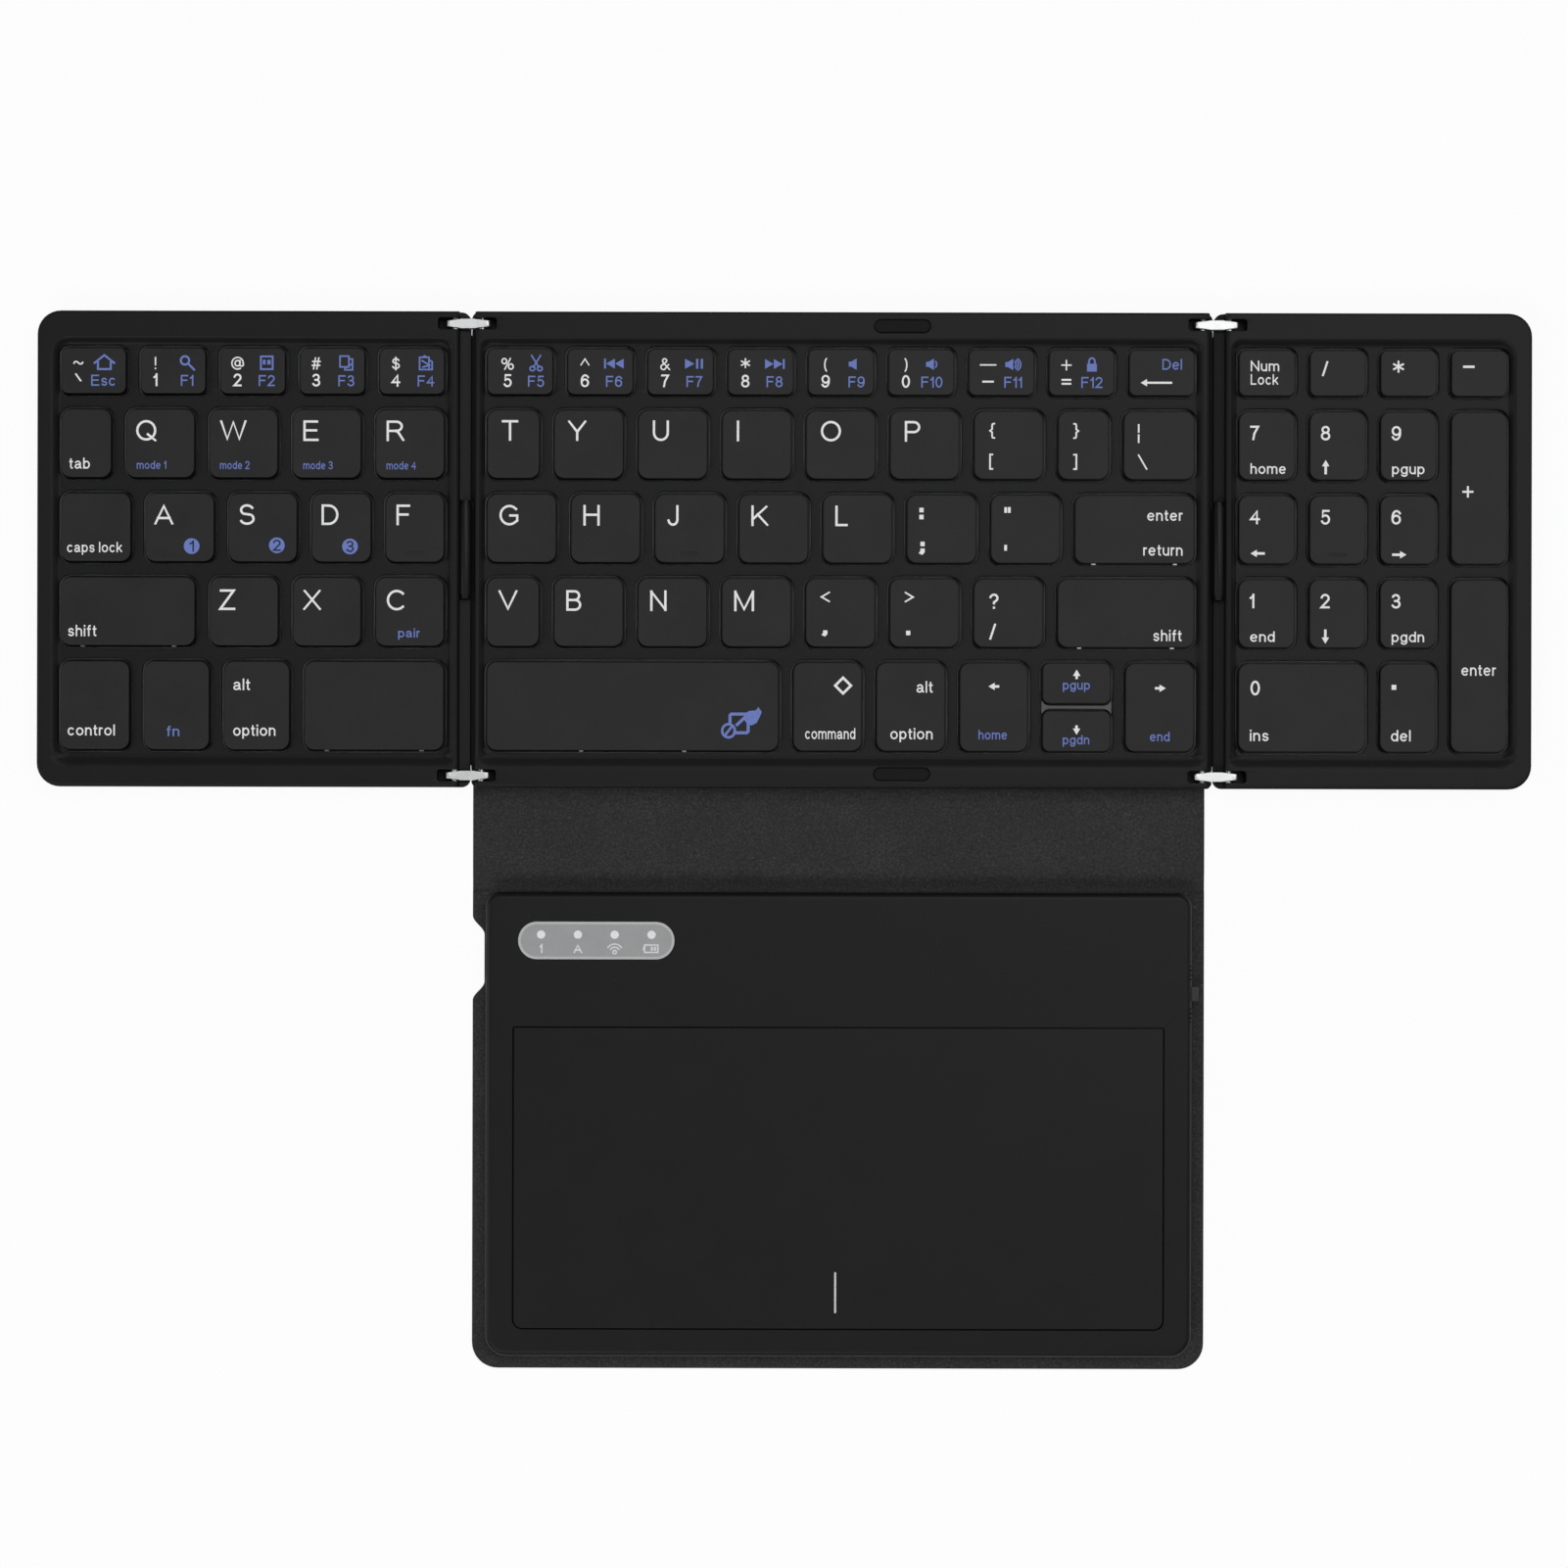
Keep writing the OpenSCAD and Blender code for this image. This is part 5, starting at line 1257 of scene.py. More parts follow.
LEGENDS = {
    "left_number_keys": [
        number_key("~", "`", "Esc", HOUSE, function_x=8.9, picture_x=9.1),
        number_key("!", "1", "F1", MAGNIFIER, x=3.3),
        number_key("@", "2", "F2", SHEET), number_key("#", "3", "F3", PAGES, x=3.6),
        number_key("$", "4", "F4", CLIPBOARD, x=3.6)],
    "left_upper_keys": [[word("tab", 2.0, 12.5, 2.25, width=4.2)]] + [
        [letter(c, x), mode_word(number)]
        for c, x, number in (("Q", 2.2, "1"), ("W", 2.5, "2"), ("E", 2.35, "3"), ("R", 2.35, "4"))],
    "left_home_keys": [
        [word("caps lock", 1.6, 12.4, 2.1, width=11.2)],
        [letter("A", 2.1), disc_number(9.7, 11.1, "1")],
        [letter("S", 2.2), disc_number(10.1, 10.9, "2")],
        [letter("D", 2.15), disc_number(8.1, 11.1, "3")], [letter("F", 2.35)]],
    "left_lower_keys": [
        [word("shift", 1.8, 12.4, 2.3, width=5.8)], [letter("Z", 2.1, 7.0)],
        [letter("X", 2.4, 7.0)],
        [letter("C", 2.4, 7.0), blue_word("pair", 4.9, 12.5, 1.85, 4.4)]],
    "left_modifier_keys": [
        [word("control", 1.8, 15.5, 2.25, width=9.6)], [blue_word("fn", 4.9, 15.6, 2.1, 2.6)],
        [word("alt", 2.2, 6.2, 2.35, width=3.4), word("option", 2.2, 15.5, 2.3, width=8.6)]],
    "left_space_key": [[]],
    "middle_number_keys": [
        number_key("%", "5", "F5", SCISSORS, x=4.4, function_x=10.2),
        number_key("^", "6", "F6", PREVIOUS), number_key("&", "7", "F7", PLAY_PAUSE),
        number_key("*", "8", "F8", NEXT), number_key("(", "9", "F9", speaker(0), function_x=10.1),
        number_key(")", "0", "F10", speaker(1), function_x=9.1, picture_x=9.5),
        number_key("_", "-", "F11", speaker(3), x=4.2, function_x=9.3),
        number_key("+", "=", "F12", PADLOCK, function_x=9.0),
        [blue_word("Del", 7.0, 4.35, 2.2, 4.0), arrow(5.8, 7.0, 6.4, 180, width=0.42)]],
    "middle_upper_keys": [[letter(c, 3.1, 6.6)] for c in "TYUIOP"] + [
        two_signs("{", "[", 3.35, 5.7, 12.0), two_signs("}", "]", 3.35, 5.7, 12.0),
        two_signs("|", "\\", 3.15, 6.2, 12.0)],
    "middle_home_keys": [[letter(c, 2.65)] for c in "GHJKL"] + [
        two_signs(":", ";", 2.8, 5.3, 12.2, 2.9, 3.0),
        two_signs("\"", "'", 3.0, 5.5, 13.2, 2.8, 2.0)],
    "enter_key": [[word("enter", 22.2, 5.5, 2.25, align=1.0, width=7.2),
                   word("return", 22.2, 12.6, 2.3, align=1.0, width=8.0)]],
    "middle_lower_keys": [[letter(c, 2.65, 7.0)] for c in "VBNM"] + [
        [word("<", 3.3, 5.4, 2.7), word(",", 3.6, 11.8, 2.7, weight=3.2)],
        [word(">", 3.3, 5.4, 2.7), word(".", 3.6, 11.8, 2.7, weight=3.2)],
        two_signs("?", "/", 3.45, 6.4, 12.6, 3.1, 1.4)],
    "right_shift_key": [[word("shift", 25.5, 12.9, 2.3, align=1.0, width=5.8)]],
    "middle_space_key": [[icon(52.3, 13.0, PAD_OFF)]],
    "middle_arrow_keys": [
        [icon(10.4, 5.0, DIAMOND, ink=0), word("command", 2.7, 15.9, 2.25, width=10.2)],
        [word("alt", 11.7, 6.4, 2.35, align=1.0, width=3.3),
         word("option", 11.7, 15.9, 2.3, align=1.0, width=8.6)],
        [arrow(7.2, 5.1, 2.2, 180), blue_word("home", 4.1, 15.9, 1.95, 5.8)],
        [arrow(7.2, 4.2, 1.9, -90), blue_word("pgdn", 4.4, 7.1, 1.9, 5.4)],
        [arrow(7.2, 2.6, 1.9, 90), blue_word("pgup", 4.4, 5.7, 1.9, 5.5)],
        [arrow(7.4, 5.4, 2.2, 0), blue_word("end", 5.3, 16.2, 1.95, 4.0)]],
    "numpad_lock_keys": [
        [word("Num", 2.6, 4.6, 2.15, width=5.8), word("Lock", 2.6, 7.35, 2.15, width=5.6)],
        [word("/", 2.7, 5.5, 2.9, weight=1.4)], [word("*", 2.6, 5.4, 3.0, weight=1.25)],
        [word("-", 2.6, 4.9, 2.6, weight=1.9)]],
    "numpad_upper_keys": [
        pad_digit("7", "home", 7.2),
        pad_digit("8") + [arrow(3.5, 11.6, 2.9, 90)], pad_digit("9", "pgup", 6.6)],
    "numpad_home_keys": [
        pad_digit("4") + [arrow(4.1, 12.1, 2.9, 180)], pad_digit("5"),
        pad_digit("6") + [arrow(4.1, 12.3, 2.9, 0)]],
    "numpad_lower_keys": [
        pad_digit("1", "end", 5.0), pad_digit("2") + [arrow(3.5, 11.9, 2.9, -90)],
        pad_digit("3", "pgdn", 6.6)],
    "numpad_zero_keys": [
        [word("0", 2.7, 6.8, 3.0, weight=1.4), word("ins", 2.6, 16.1, 2.3, width=3.8)],
        [word(".", 2.6, 5.6, 3.0, weight=3.2), word("del", 2.5, 16.1, 2.3, width=4.0)]],
    "numpad_tall_keys": [
        [word("enter", 2.4, 19.8, 2.3, width=7.0)], [word("+", 2.5, 17.9, 2.7, weight=1.5)]],
}


def key_legends(node):
    parts = [mark(left, rear) for marks, (left, _, _, rear) in zip(LEGENDS[node], KEYS[node])
             for mark in marks]
    if parts:
        vertices, faces, indices = joined(parts)
        made = make_object(node + "_legends", vertices, faces, [ink_white, ink_blue], indices)
        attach(made, node)


# ---- leather ----

LEATHER_T = span("leather_back")[1][2]
LEATHER_REAR = span("leather_back")[1][1]
leather_low, leather_high = span("leather_cover")
LEATHER_X0, LEATHER_X1 = leather_low[0], leather_high[0]
LEATHER_FRONT = leather_low[1]
LEATHER_FRONT_R, LEATHER_REAR_R, LEATHER_EDGE_R = 5.3, 2.0, 0.28
spine_low, spine_high = span("leather_spine")
FRONT_CREASE = spine_high[1] - LEATHER_T / 2
CASE_CREASE = spine_low[1] + LEATHER_T / 2
FOLD_REACH, SEAM_IN = 1.1, 3.2
SEAM_Y = FRONT_CREASE - SEAM_IN
# depth of the hollow at the case crease and its widths to the rear and to the front
HOLLOW_DEPTH, HOLLOW_REAR, HOLLOW_FRONT = 0.45, 2.6, 0.8
# how far the cutting lines run past the leather's sides, and its outline past the seam
CUT_OVER, SEAM_OVER = 5, 20
# how far the cutting lines reach behind the case crease, and their columns along the front crease
HOLLOW_REACH, PUCKER_COLUMNS = 7.0, 150
socket_low, socket_high = span("charging_socket")
SOCKET_Y = (socket_low[1] + socket_high[1]) / 2
NOTCH_HALF, NOTCH_END, NOTCH_DEPTH = 4.8, 3.9, 2.4
# the part of the leather in which the notch's edge counts
NOTCH_NEAR_Y, NOTCH_NEAR_X = 12, 6


def notch_ring(shrink):
    """Cut-out at the charging socket, with S-shaped ends, widened by shrink."""
    steps = 10
    end = []
    for i in range(steps + 1):
        t = i / steps
        x = LEATHER_X0 + NOTCH_DEPTH * (1 + math.cos(math.pi * t)) / 2
        end.append((x + shrink * (1 - t), NOTCH_HALF + NOTCH_END * t + shrink * 0.7))
    outer = LEATHER_X0 - 1.5
    ring = [(x, SOCKET_Y + y) for x, y in end] + [(outer, SOCKET_Y + end[-1][1])]
    ring += [(outer, SOCKET_Y - end[-1][1])] + [(x, SOCKET_Y - y) for x, y in reversed(end)]
    return ring


def ring_distance(ring, x, y):
    """Distance from a point to the nearest edge of a ring."""
    best = 1e9
    for (x0, y0), (x1, y1) in zip(ring, ring[1:] + ring[:1]):
        dx, dy = x1 - x0, y1 - y0
        t = min(max(((x - x0) * dx + (y - y0) * dy) / (dx * dx + dy * dy), 0), 1)
        best = min(best, math.hypot(x - x0 - t * dx, y - y0 - t * dy))
    return best


def leather_piece(name, y0, y1, front_r, rear_r, notched):
    """One length of the leather, from y0 to y1, with cut edges where it ends."""
    over = [SEAM_OVER if abs(y - SEAM_Y) < 0.01 else 0 for y in (y0, y1)]
    plate = Plate(LEATHER_X0, LEATHER_X1, y0 - over[0], y1 + over[1],
                  [front_r, front_r, rear_r, rear_r])
    notch = notch_ring(0.0)

    def edge(x, y):
        d = -plate.reach(x, y)
        if notched and abs(y - SOCKET_Y) < NOTCH_NEAR_Y and x < LEATHER_X0 + NOTCH_NEAR_X:
            d = min(d, ring_distance(notch, x, y))
        return drop(d, LEATHER_EDGE_R)

    def puckers(x, y):
        """Small waves where the leather bends up along the panel's front edge."""
        near = math.exp(-((y - FRONT_CREASE + 1.1) / 0.7) ** 2)
        wave = math.sin(x * 0.83) + 0.8 * math.sin(x * 2.1 + 1.3) + 0.6 * math.sin(x * 4.3 + 0.4)
        return near * (0.05 * wave - 0.08)

    def hollow(y):
        """Depth that the leather sinks by before it turns up to the case."""
        wide = HOLLOW_REAR if y > CASE_CREASE else HOLLOW_FRONT
        return HOLLOW_DEPTH * math.exp(-((y - CASE_CREASE) / wide) ** 2)

    heights = {"top": lambda x, y: LEATHER_T - edge(x, y) + puckers(x, y) - hollow(y),
               "bottom": edge}

    def zone(x, y):
        if not (plate.holds(x, y) and y0 < y < y1) or (notched and inside(notch, x, y)):
            return None
        return "top", "bottom"

    def across(y):
        return [(LEATHER_X0 - CUT_OVER, y), (LEATHER_X1 + CUT_OVER, y)]

    rings = [plate.ring(-d, 10) for d in drop_steps(LEATHER_EDGE_R, 4)]
    rings.append(rectangle(LEATHER_X0 - CUT_OVER, y0, LEATHER_X1 + CUT_OVER, y1))
    if notched:
        rings += [notch_ring(d) for d in (0.0, 0.08, LEATHER_EDGE_R)]
    folds = [crease + FOLD_REACH * i / 8 for crease in (FRONT_CREASE, CASE_CREASE)
             for i in range(-8, 9)]
    lines = [across(y) for y in folds if y0 < y < y1]
    if y1 > FRONT_CREASE:
        lines += [across(FRONT_CREASE - SEAM_IN * i / 12) for i in range(1, 12)]
        for i in range(1, PUCKER_COLUMNS):
            x = LEATHER_X0 + (LEATHER_X1 - LEATHER_X0) * i / PUCKER_COLUMNS
            lines.append([(x, SEAM_Y), (x, FRONT_CREASE + 0.8)])
    else:
        lines += [across(CASE_CREASE + HOLLOW_REACH * i / 12) for i in range(1, 12)]
    return terrace(name, rings, lines, zone, heights, leather)


def leather_sheets():
    back = leather_piece("leather_under_keyboard", SEAM_Y, LEATHER_REAR, 0.0, LEATHER_REAR_R, False)
    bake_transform(back)
    front = leather_piece("leather_flap", LEATHER_FRONT, SEAM_Y, LEATHER_FRONT_R, 0.0, True)
    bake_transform(front)
    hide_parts("leather_back", "leather_spine")
    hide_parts("leather_cover")


# ---- touchpad case ----

case_low, case_high = span("pad_case_bottom")
CASE_X0, CASE_X1 = case_low[0], case_high[0]
CASE_FRONT, CASE_REAR = case_low[1], case_high[1]
CASE_Z, CASE_SPLIT_Z = case_low[2], case_high[2]
CASE_TOP_Z = span("pad_case_top")[1][2]
CASE_R, CASE_UNDER_R, CASE_LIP_R = 1.2, 0.7, 0.16
CASE_WALL, CASE_PLATE_T, CASE_FLOOR_T = 1.5, 0.9, 0.8
CASE_PLATE = Plate(CASE_X0, CASE_X1, CASE_FRONT, CASE_REAR, [4.4, 4.4, 2.8, 2.8])
touch_low, touch_high = span("touch_surface")
TOUCH_GAP, TOUCH_FRONT_R, TOUCH_REAR_R = 0.25, 1.8, 0.2
LINE_X, LINE_HALF_W, LINE_FRONT, LINE_REAR = -1.07, 0.2, -155.45, -147.15
window_low, window_high = span("indicator_window")
WINDOW_X, WINDOW_Y = ((window_low[i] + window_high[i]) / 2 for i in (0, 1))
WINDOW_HALF_L, WINDOW_HALF_W = ((window_high[i] - window_low[i]) / 2 for i in (0, 1))
WINDOW_GAP, WINDOW_POCKET = 0.05, 0.45
WINDOW_Z = window_high[2]
LED_PITCH, LED_R, SPOT_R = 7.5, 0.95, 0.85
LED_Y, LED_XS = WINDOW_Y + 1.2, [WINDOW_X + (i - 1.5) * LED_PITCH for i in range(4)]
LABEL_Y, LABEL_Z = WINDOW_Y - 1.65, WINDOW_Z - 0.004
SOCKET_Z = (socket_low[2] + socket_high[2]) / 2
SOCKET_HALF_W, SOCKET_HALF_H = 4.62, 1.75
knob_low, knob_high = span("switch_knob")
SWITCH_Y = (knob_low[1] + knob_high[1]) / 2
SWITCH_Z = (knob_low[2] + knob_high[2]) / 2
RECESS_IN, RECESS_HALF, RECESS_LOW = 0.55, 5.8, CASE_Z + 0.8
KNOB_SLOT_HALF, KNOB_SLOT_H = 2.9, 0.95
RIB_HALF, RIBS = 0.25, [3.45 + 0.95 * i for i in range(3)]
KNOB_HALF_L, KNOB_HALF_H, KNOB_IN = 1.5, 0.75, 0.9
CARRIER_HALF_L, CARRIER_T = 2.2, 1.0


def socket_arch(y):
    """Half height of the socket opening at this place along the side."""
    d = abs(y - SOCKET_Y)
    flat = SOCKET_HALF_W - SOCKET_HALF_H
    if d <= flat:
        return SOCKET_HALF_H
    if d >= SOCKET_HALF_W:
        return 0.0
    return math.sqrt(SOCKET_HALF_H ** 2 - (d - flat) ** 2)


def case_zone(x, y):
    """Name of the side opening or hollow that holds a point, or None."""
    if x < CASE_X0 + CASE_WALL and abs(y - SOCKET_Y) < SOCKET_HALF_W:
        return "socket"
    d = abs(y - SWITCH_Y)
    if d < KNOB_SLOT_HALF and x > CASE_X1 - CASE_WALL:
        return "knob_slot"
    between_ribs = all(abs(d - rib) > RIB_HALF for rib in RIBS)
    if d < RECESS_HALF and x > CASE_X1 - RECESS_IN and between_ribs:
        return "recess"
    if (CASE_X0 + CASE_WALL < x < CASE_X1 - CASE_WALL
            and CASE_FRONT + CASE_WALL < y < CASE_REAR - CASE_WALL):
        return "hollow"
    return None


def case_inner_rings():
    """The hollow, the socket, the knob's slot and the recesses between the grip ribs."""
    w, over = CASE_WALL, 1
    hollow = rectangle(CASE_X0 + w, CASE_FRONT + w, CASE_X1 - w, CASE_REAR - w)
    rings = [rectangle(CASE_X0 - over, SOCKET_Y - SOCKET_HALF_W, CASE_X0 + w,
                       SOCKET_Y + SOCKET_HALF_W),
             rectangle(CASE_X1 - w, SWITCH_Y - KNOB_SLOT_HALF, CASE_X1 + over,
                       SWITCH_Y + KNOB_SLOT_HALF)]
    stops = [KNOB_SLOT_HALF]
    for rib in RIBS:
        stops += [rib - RIB_HALF, rib + RIB_HALF]
    stops.append(RECESS_HALF)
    for side in (-1, 1):
        rings += [rectangle(CASE_X1 - RECESS_IN, SWITCH_Y + side * a, CASE_X1 + over,
                            SWITCH_Y + side * b) for a, b in zip(stops[::2], stops[1::2])]
    return hollow, rings


def socket_lines():
    """Cuts across the left wall that follow the round ends of the socket opening."""
    ys = [SOCKET_Y + SOCKET_HALF_W * math.sin(math.pi / 2 * k / 9) for k in range(-9, 10)]
    return [[(CASE_X0 - 1, y), (CASE_X0 + CASE_WALL, y)] for y in ys]


def case_top():
    g = TOUCH_GAP
    touch = Plate(touch_low[0] - g, touch_high[0] + g, touch_low[1] - g, touch_high[1] + g,
                  [TOUCH_FRONT_R + g, TOUCH_FRONT_R + g, TOUCH_REAR_R + g, TOUCH_REAR_R + g])
    window = pill(WINDOW_X, WINDOW_Y, WINDOW_HALF_L + WINDOW_GAP, WINDOW_HALF_W + WINDOW_GAP)
    leds = [circle(x, LED_Y, LED_R, 14) for x in LED_XS]

    def top(x, y):
        lip = max(drop(touch.reach(x, y), CASE_LIP_R), drop(window.reach(x, y), CASE_LIP_R))
        return CASE_TOP_Z - drop(-CASE_PLATE.reach(x, y), CASE_R) - lip

    heights = {
        "top": top, "pocket": flat_at(CASE_TOP_Z - WINDOW_POCKET),
        "parting": rounded(CASE_PLATE, CASE_SPLIT_Z, PARTING_R),
        "hollow": flat_at(CASE_TOP_Z - CASE_PLATE_T),
        "socket": lambda x, y: max(SOCKET_Z + socket_arch(y), CASE_SPLIT_Z),
        "knob_slot": lambda x, y: min(SWITCH_Z + KNOB_SLOT_H, top(x, y) - 0.2),
    }

    def zone(x, y):
        if not CASE_PLATE.holds(x, y) or touch.holds(x, y) or any(inside(r, x, y) for r in leds):
            return None
        bottom = case_zone(x, y) or "parting"
        if bottom == "recess":
            return None
        return ("pocket" if window.holds(x, y) else "top"), bottom

    hollow, side_rings = case_inner_rings()
    rings = rim_rings(CASE_PLATE, CASE_R, 7, 10)
    rings += [touch.ring(d) for d in drop_steps(CASE_LIP_R, 3)]
    rings += [window.ring(d, 12) for d in drop_steps(CASE_LIP_R, 3)]
    rings += [hollow] + leds + side_rings
    made = terrace("touchpad_case_top", rings, socket_lines(), zone, heights, case_plastic)
    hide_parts("pad_case_top")
    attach(made, "touchpad_case")


def case_bottom():
    under = rounded(CASE_PLATE, CASE_Z, CASE_UNDER_R)
    heights = {
        "parting": rounded(CASE_PLATE, CASE_SPLIT_Z, PARTING_R, -1),
        "hollow": flat_at(CASE_Z + CASE_FLOOR_T), "under": under,
        "socket": lambda x, y: min(SOCKET_Z - socket_arch(y), CASE_SPLIT_Z),
        "knob_slot": flat_at(SWITCH_Z - KNOB_SLOT_H),
        "recess": lambda x, y: max(RECESS_LOW, under(x, y) + 0.2),
    }

    def zone(x, y):
        return (case_zone(x, y) or "parting", "under") if CASE_PLATE.holds(x, y) else None

    hollow, side_rings = case_inner_rings()
    rings = rim_rings(CASE_PLATE, CASE_UNDER_R, 4, 10) + [hollow] + side_rings
    made = terrace("touchpad_case_bottom", rings, socket_lines(), zone, heights, case_plastic)
    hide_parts("pad_case_bottom")
    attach(made, "touchpad_case")


def touch_plate():
    """The touch surface, with a thin flange under the gap that hides the board; the flange and the
    plate's side take the near-black gloss plastic, painted shade in the gap.
    """
    plate = Plate(touch_low[0], touch_high[0], touch_low[1], touch_high[1],
                  [TOUCH_FRONT_R, TOUCH_FRONT_R, TOUCH_REAR_R, TOUCH_REAR_R])
    top, base, flange = touch_high[2], touch_low[2], 0.6
    profile = [(-flange, base + 0.002), (-flange, base + 0.03), (0, base + 0.035),
               (0, top - 0.14), (0.04, top - 0.05), (0.14, top)]
    # the flange and the side take the near-black plastic: painted shade in the gap round the plate
    vertices, faces, indices = plate_loft(plate, profile, 8, [1, 1, 1, 0, 0, 0])
    made = make_object("touch_plate_face", vertices, faces, [touch_plastic, gloss_and_shade], indices)
    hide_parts("touch_surface")
    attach(made, "touch_plate")
    line = Plate(LINE_X - LINE_HALF_W, LINE_X + LINE_HALF_W, LINE_FRONT, LINE_REAR, 0.12)
    profile = [(0, top - 0.02), (0, top + 0.008), (0.03, top + 0.012)]
    mark = make_object("touch_centre_line", *plate_loft(line, profile, 3)[:2], [ink_grey])
    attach(mark, "touch_plate")


def window_labels():
    """Light grey signs on the indicator window: number lock, capitals, link and battery."""
    waves = raised(bars([(0, -0.6, 0.35, 0.35, 0, 360)], [(0, -0.6, 1.0, 1.0, 35, 145)],
                        [(0, -0.6, 1.65, 1.65, 35, 145)], width=0.3))
    cell = raised(bars(frame_line(-1.4, -0.75, 1.3, 0.75), width=0.32)
                  + [rectangle(-1.75, -0.35, -1.4, 0.35), rectangle(-0.15, -0.4, 0.3, 0.4),
                     rectangle(0.5, -0.4, 0.95, 0.4)])
    parts = [text(sign, x, LABEL_Y - 0.95, 1.9, align=0.5, weight=1.7, z=LABEL_Z)
             for sign, x in zip("1A", LED_XS)]
    parts.append(printed(waves, LED_XS[2], LABEL_Y - 0.1, 1, 1, 0, LABEL_Z))
    parts.append(printed(cell, LED_XS[3], LABEL_Y, 1, 1, 0, LABEL_Z))
    made = make_object("indicator_labels", *joined(parts)[:2], [ink_window])
    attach(made, "touchpad_case")


def indicator():
    plate, top = pill(WINDOW_X, WINDOW_Y, WINDOW_HALF_L, WINDOW_HALF_W), WINDOW_Z
    profile = [(0, window_low[2]), (0, top - 0.12), (0.05, top - 0.04), (0.16, top), (0.55, top)]
    # the pane's side, rounded edge and a narrow band of its top take the lighter film, a painted
    # highlight
    vertices, faces, indices = plate_loft(plate, profile, 16, [1, 1, 1, 1, 0])
    made = make_object("indicator_pane", vertices, faces, [window_film, window_rim_highlight], indices)
    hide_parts("indicator_window")
    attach(made, "touchpad_case")
    window_labels()
    levels = ((SPOT_R, top - 0.02), (SPOT_R, top + 0.01), (SPOT_R - 0.05, top + 0.018))
    dots = [loft([[(px, py, z) for px, py in circle(x, LED_Y, r, 24)] for r, z in levels])
            for x in LED_XS]
    spots = make_object("indicator_spots", *joined(dots)[:2], [window_light])
    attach(spots, "touchpad_case")


def power_knob():
    """Slide switch: a knob on a carrier behind the case wall."""
    z0, z1 = SWITCH_Z - KNOB_HALF_H, SWITCH_Z + KNOB_HALF_H
    carrier = Plate(knob_low[0], knob_low[0] + CARRIER_T, SWITCH_Y - CARRIER_HALF_L,
                    SWITCH_Y + CARRIER_HALF_L, 0.15)
    body = Plate(knob_low[0] + KNOB_IN, knob_high[0], SWITCH_Y - KNOB_HALF_L, SWITCH_Y + KNOB_HALF_L,
                 [0.25, 0.4, 0.4, 0.25])
    parts = [plate_loft(carrier, [(0.05, z0), (0, z0 + 0.05), (0, z1 - 0.05), (0.05, z1)], 3),
             plate_loft(body, [(0.2, z0), (0.05, z0 + 0.06), (0, z0 + 0.2), (0, z1 - 0.2),
                               (0.05, z1 - 0.06), (0.2, z1)], 4)]
    made = make_object("power_knob", *joined(parts)[:2], [knob_plastic])
    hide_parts("switch_knob")
    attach(made, "power_switch")


# ---- studio ----

# where the camera hangs, its distance from the rim, the width it sees there and its small turn
CAMERA_X, CAMERA_Y, CAMERA_D = -11.73, -47.66, 900.0
FRAME_W, SENSOR_W, ROLL = 319.24, 36, 0.0023
# the floor's half size and how far it lies below the part, in metres
FLOOR_HALF, FLOOR_GAP = 12.0, 0.0002


def stand_camera(scene):
    data = bpy.data.cameras.new("Camera")
    data.sensor_width = SENSOR_W
    data.lens = SENSOR_W * CAMERA_D / FRAME_W
    data.clip_start = 0.01
    data.clip_end = 20
    camera = bpy.data.objects.new("Camera", data)
    camera.location = (CAMERA_X * MM, CAMERA_Y * MM, (RIM_Z + CAMERA_D) * MM)
    camera.rotation_euler = (0, 0, ROLL)
    scene.collection.objects.link(camera)
    scene.camera = camera


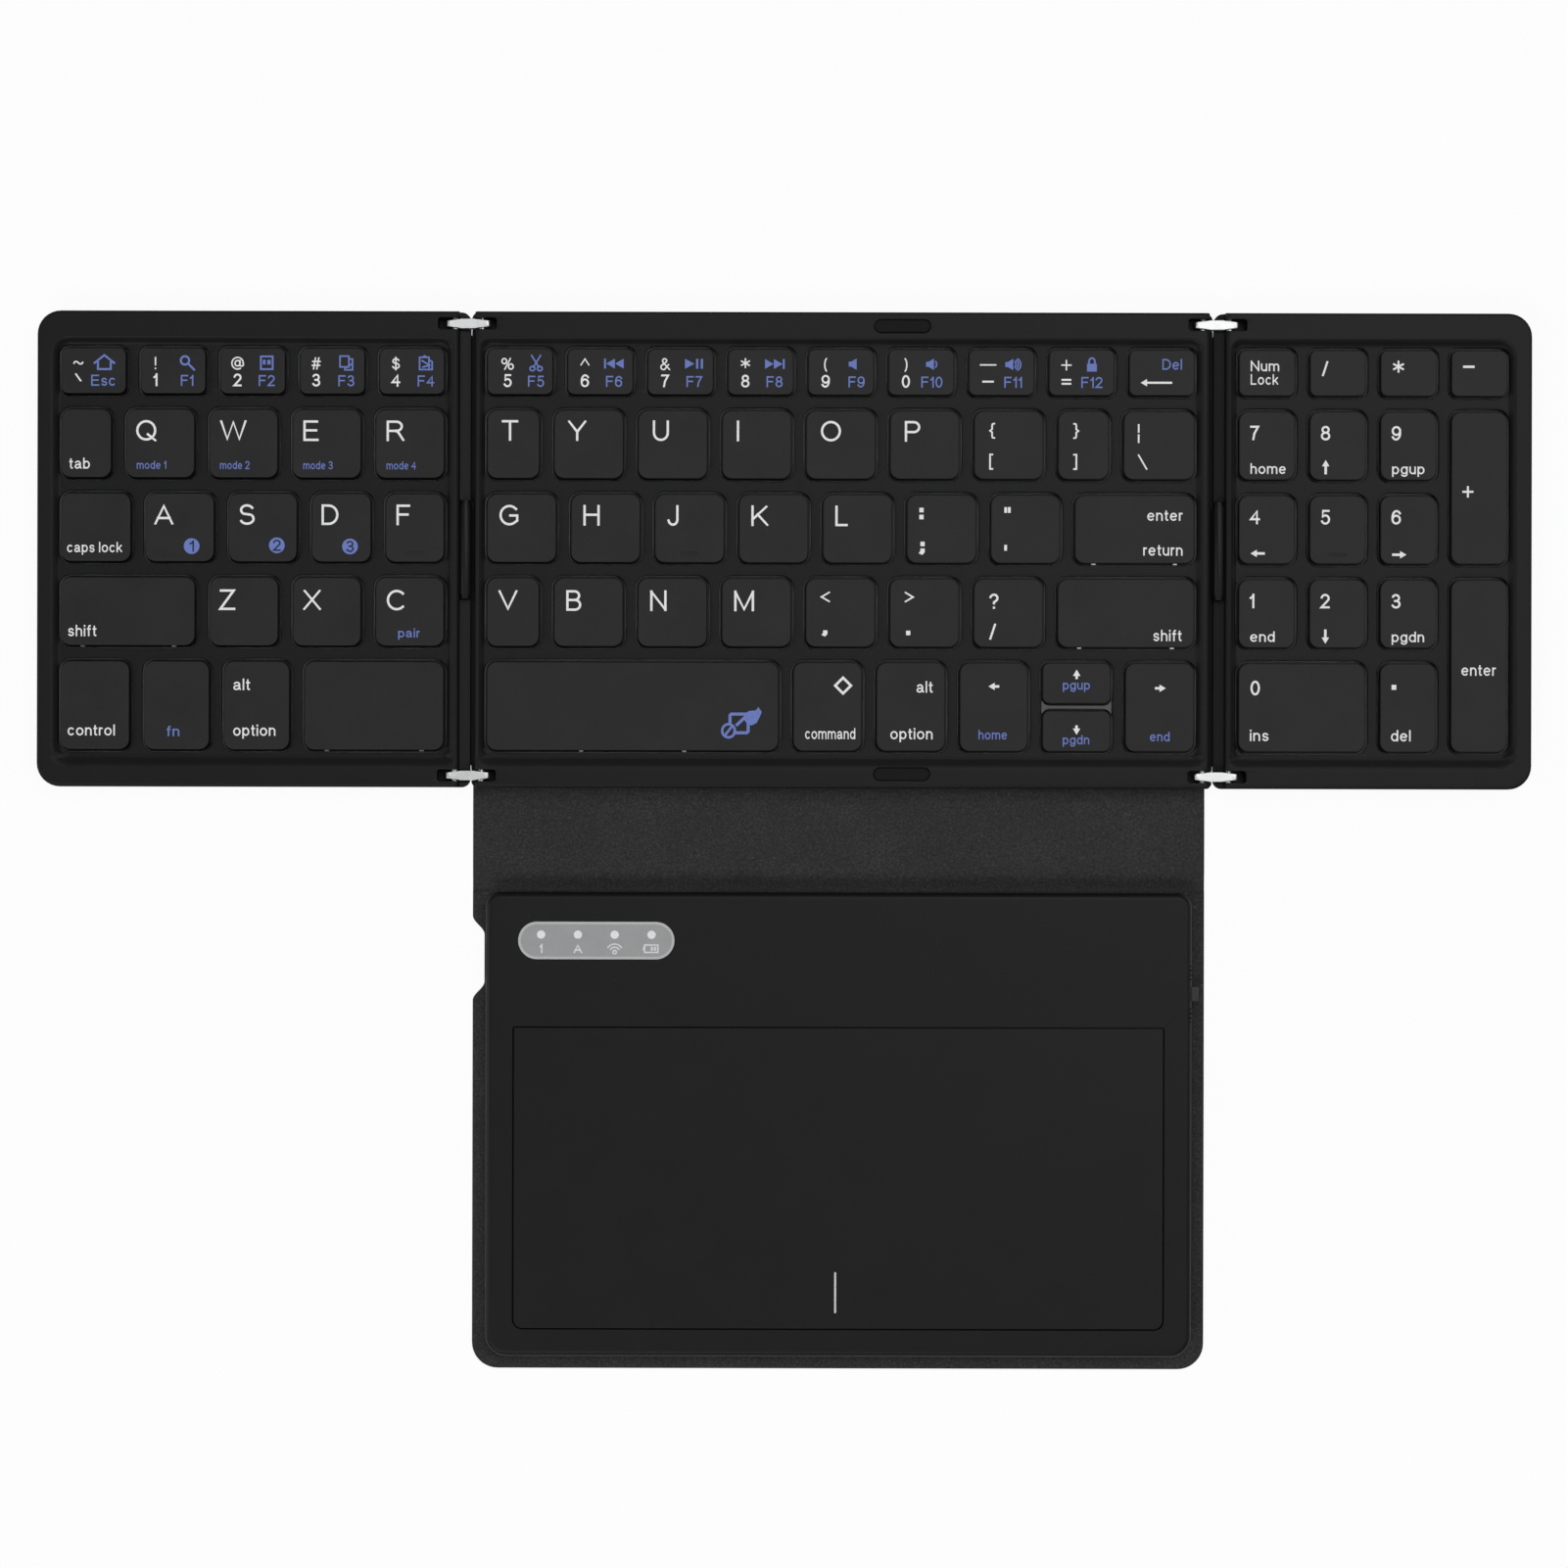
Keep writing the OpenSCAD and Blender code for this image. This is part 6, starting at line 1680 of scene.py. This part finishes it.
def floor_finish():
    """Paper that lights the object as mid grey, and that the camera and gloss see nearly white."""
    f = Finish("floor_paper", Base_Color=(0.62, 0.62, 0.62, 1), Roughness=0.9,
               Specular_IOR_Level=0.0)
    lit = f.node("ShaderNodeEmission")
    lit.inputs["Color"].default_value = WHITE
    lit.inputs["Strength"].default_value = 1.0
    plain = f.node("ShaderNodeBsdfDiffuse")
    plain.inputs["Color"].default_value = (0.8, 0.8, 0.8, 1)
    seen = f.node("ShaderNodeMixShader")
    seen.inputs["Fac"].default_value = 0.93
    f.link(plain.outputs[0], seen.inputs[1])
    f.link(lit.outputs[0], seen.inputs[2])
    path = f.node("ShaderNodeLightPath").outputs
    indirect = f.math("MAXIMUM", path["Is Glossy Ray"], path["Is Transmission Ray"])
    choose = f.node("ShaderNodeMixShader")
    f.link(f.math("MAXIMUM", path["Is Camera Ray"], indirect), choose.inputs["Fac"])
    f.link(f.shader.outputs[0], choose.inputs[1])
    f.link(seen.outputs[0], choose.inputs[2])
    output = next(n for n in f.tree.nodes if n.type == "OUTPUT_MATERIAL")
    f.link(choose.outputs[0], output.inputs["Surface"])
    return f.material


def lay_floor(scene):
    corners = rectangle(-FLOOR_HALF, -FLOOR_HALF, FLOOR_HALF, FLOOR_HALF)
    mesh = bpy.data.meshes.new("floor")
    mesh.from_pydata([(x, y, 0) for x, y in corners], [], [[0, 1, 2, 3]])
    mesh.materials.append(floor_finish())
    floor = bpy.data.objects.new("floor", mesh)
    floor.location.z = -FLOOR_GAP
    scene.collection.objects.link(floor)


def hang_lamp(scene, name, place, aim, size, power):
    data = bpy.data.lights.new(name, "AREA")
    data.shape = "RECTANGLE"
    data.size, data.size_y = size
    data.energy = power
    lamp = bpy.data.objects.new(name, data)
    lamp.location = place
    lamp.rotation_euler = (Vector(aim) - Vector(place)).to_track_quat("-Z", "Y").to_euler()
    scene.collection.objects.link(lamp)


def studio():
    scene = bpy.context.scene
    scene.view_settings.view_transform = "Standard"
    stand_camera(scene)
    lay_floor(scene)
    world = bpy.data.worlds.new("World")
    world.use_nodes = True
    sky = world.node_tree.nodes["Background"].inputs
    sky["Color"].default_value = (0.9, 0.95, 1.0, 1)
    sky["Strength"].default_value = 0.2
    scene.world = world
    hang_lamp(scene, "above", (0.3, 0.3, 1.35), (0.05, 0.0, 0), (1.1, 0.8), 8.4)
    hang_lamp(scene, "front", (-0.35, -0.85, 1.1), (0, -0.05, 0), (0.9, 0.35), 6.4)
    hang_lamp(scene, "left", (-1.3, -0.2, 0.6), (0, -0.05, 0), (0.4, 1.1), 5)
    hang_lamp(scene, "right", (1.3, 0.1, 0.6), (0, -0.05, 0), (0.4, 1.1), 2)


# ---- assembly ----

dress_cad()
for side in ("left", "middle", "right"):
    panel = Panel(side)
    top_shell(panel)
    bottom_shell(panel)
rest_pads()
arrow_strip()
for side in ("left", "right"):
    hinge_plates(side)
for nodes in KEY_NODES.values():
    for node in nodes:
        key_caps(node)
        key_legends(node)
case_top()
case_bottom()
leather_sheets()
touch_plate()
indicator()
power_knob()
studio()
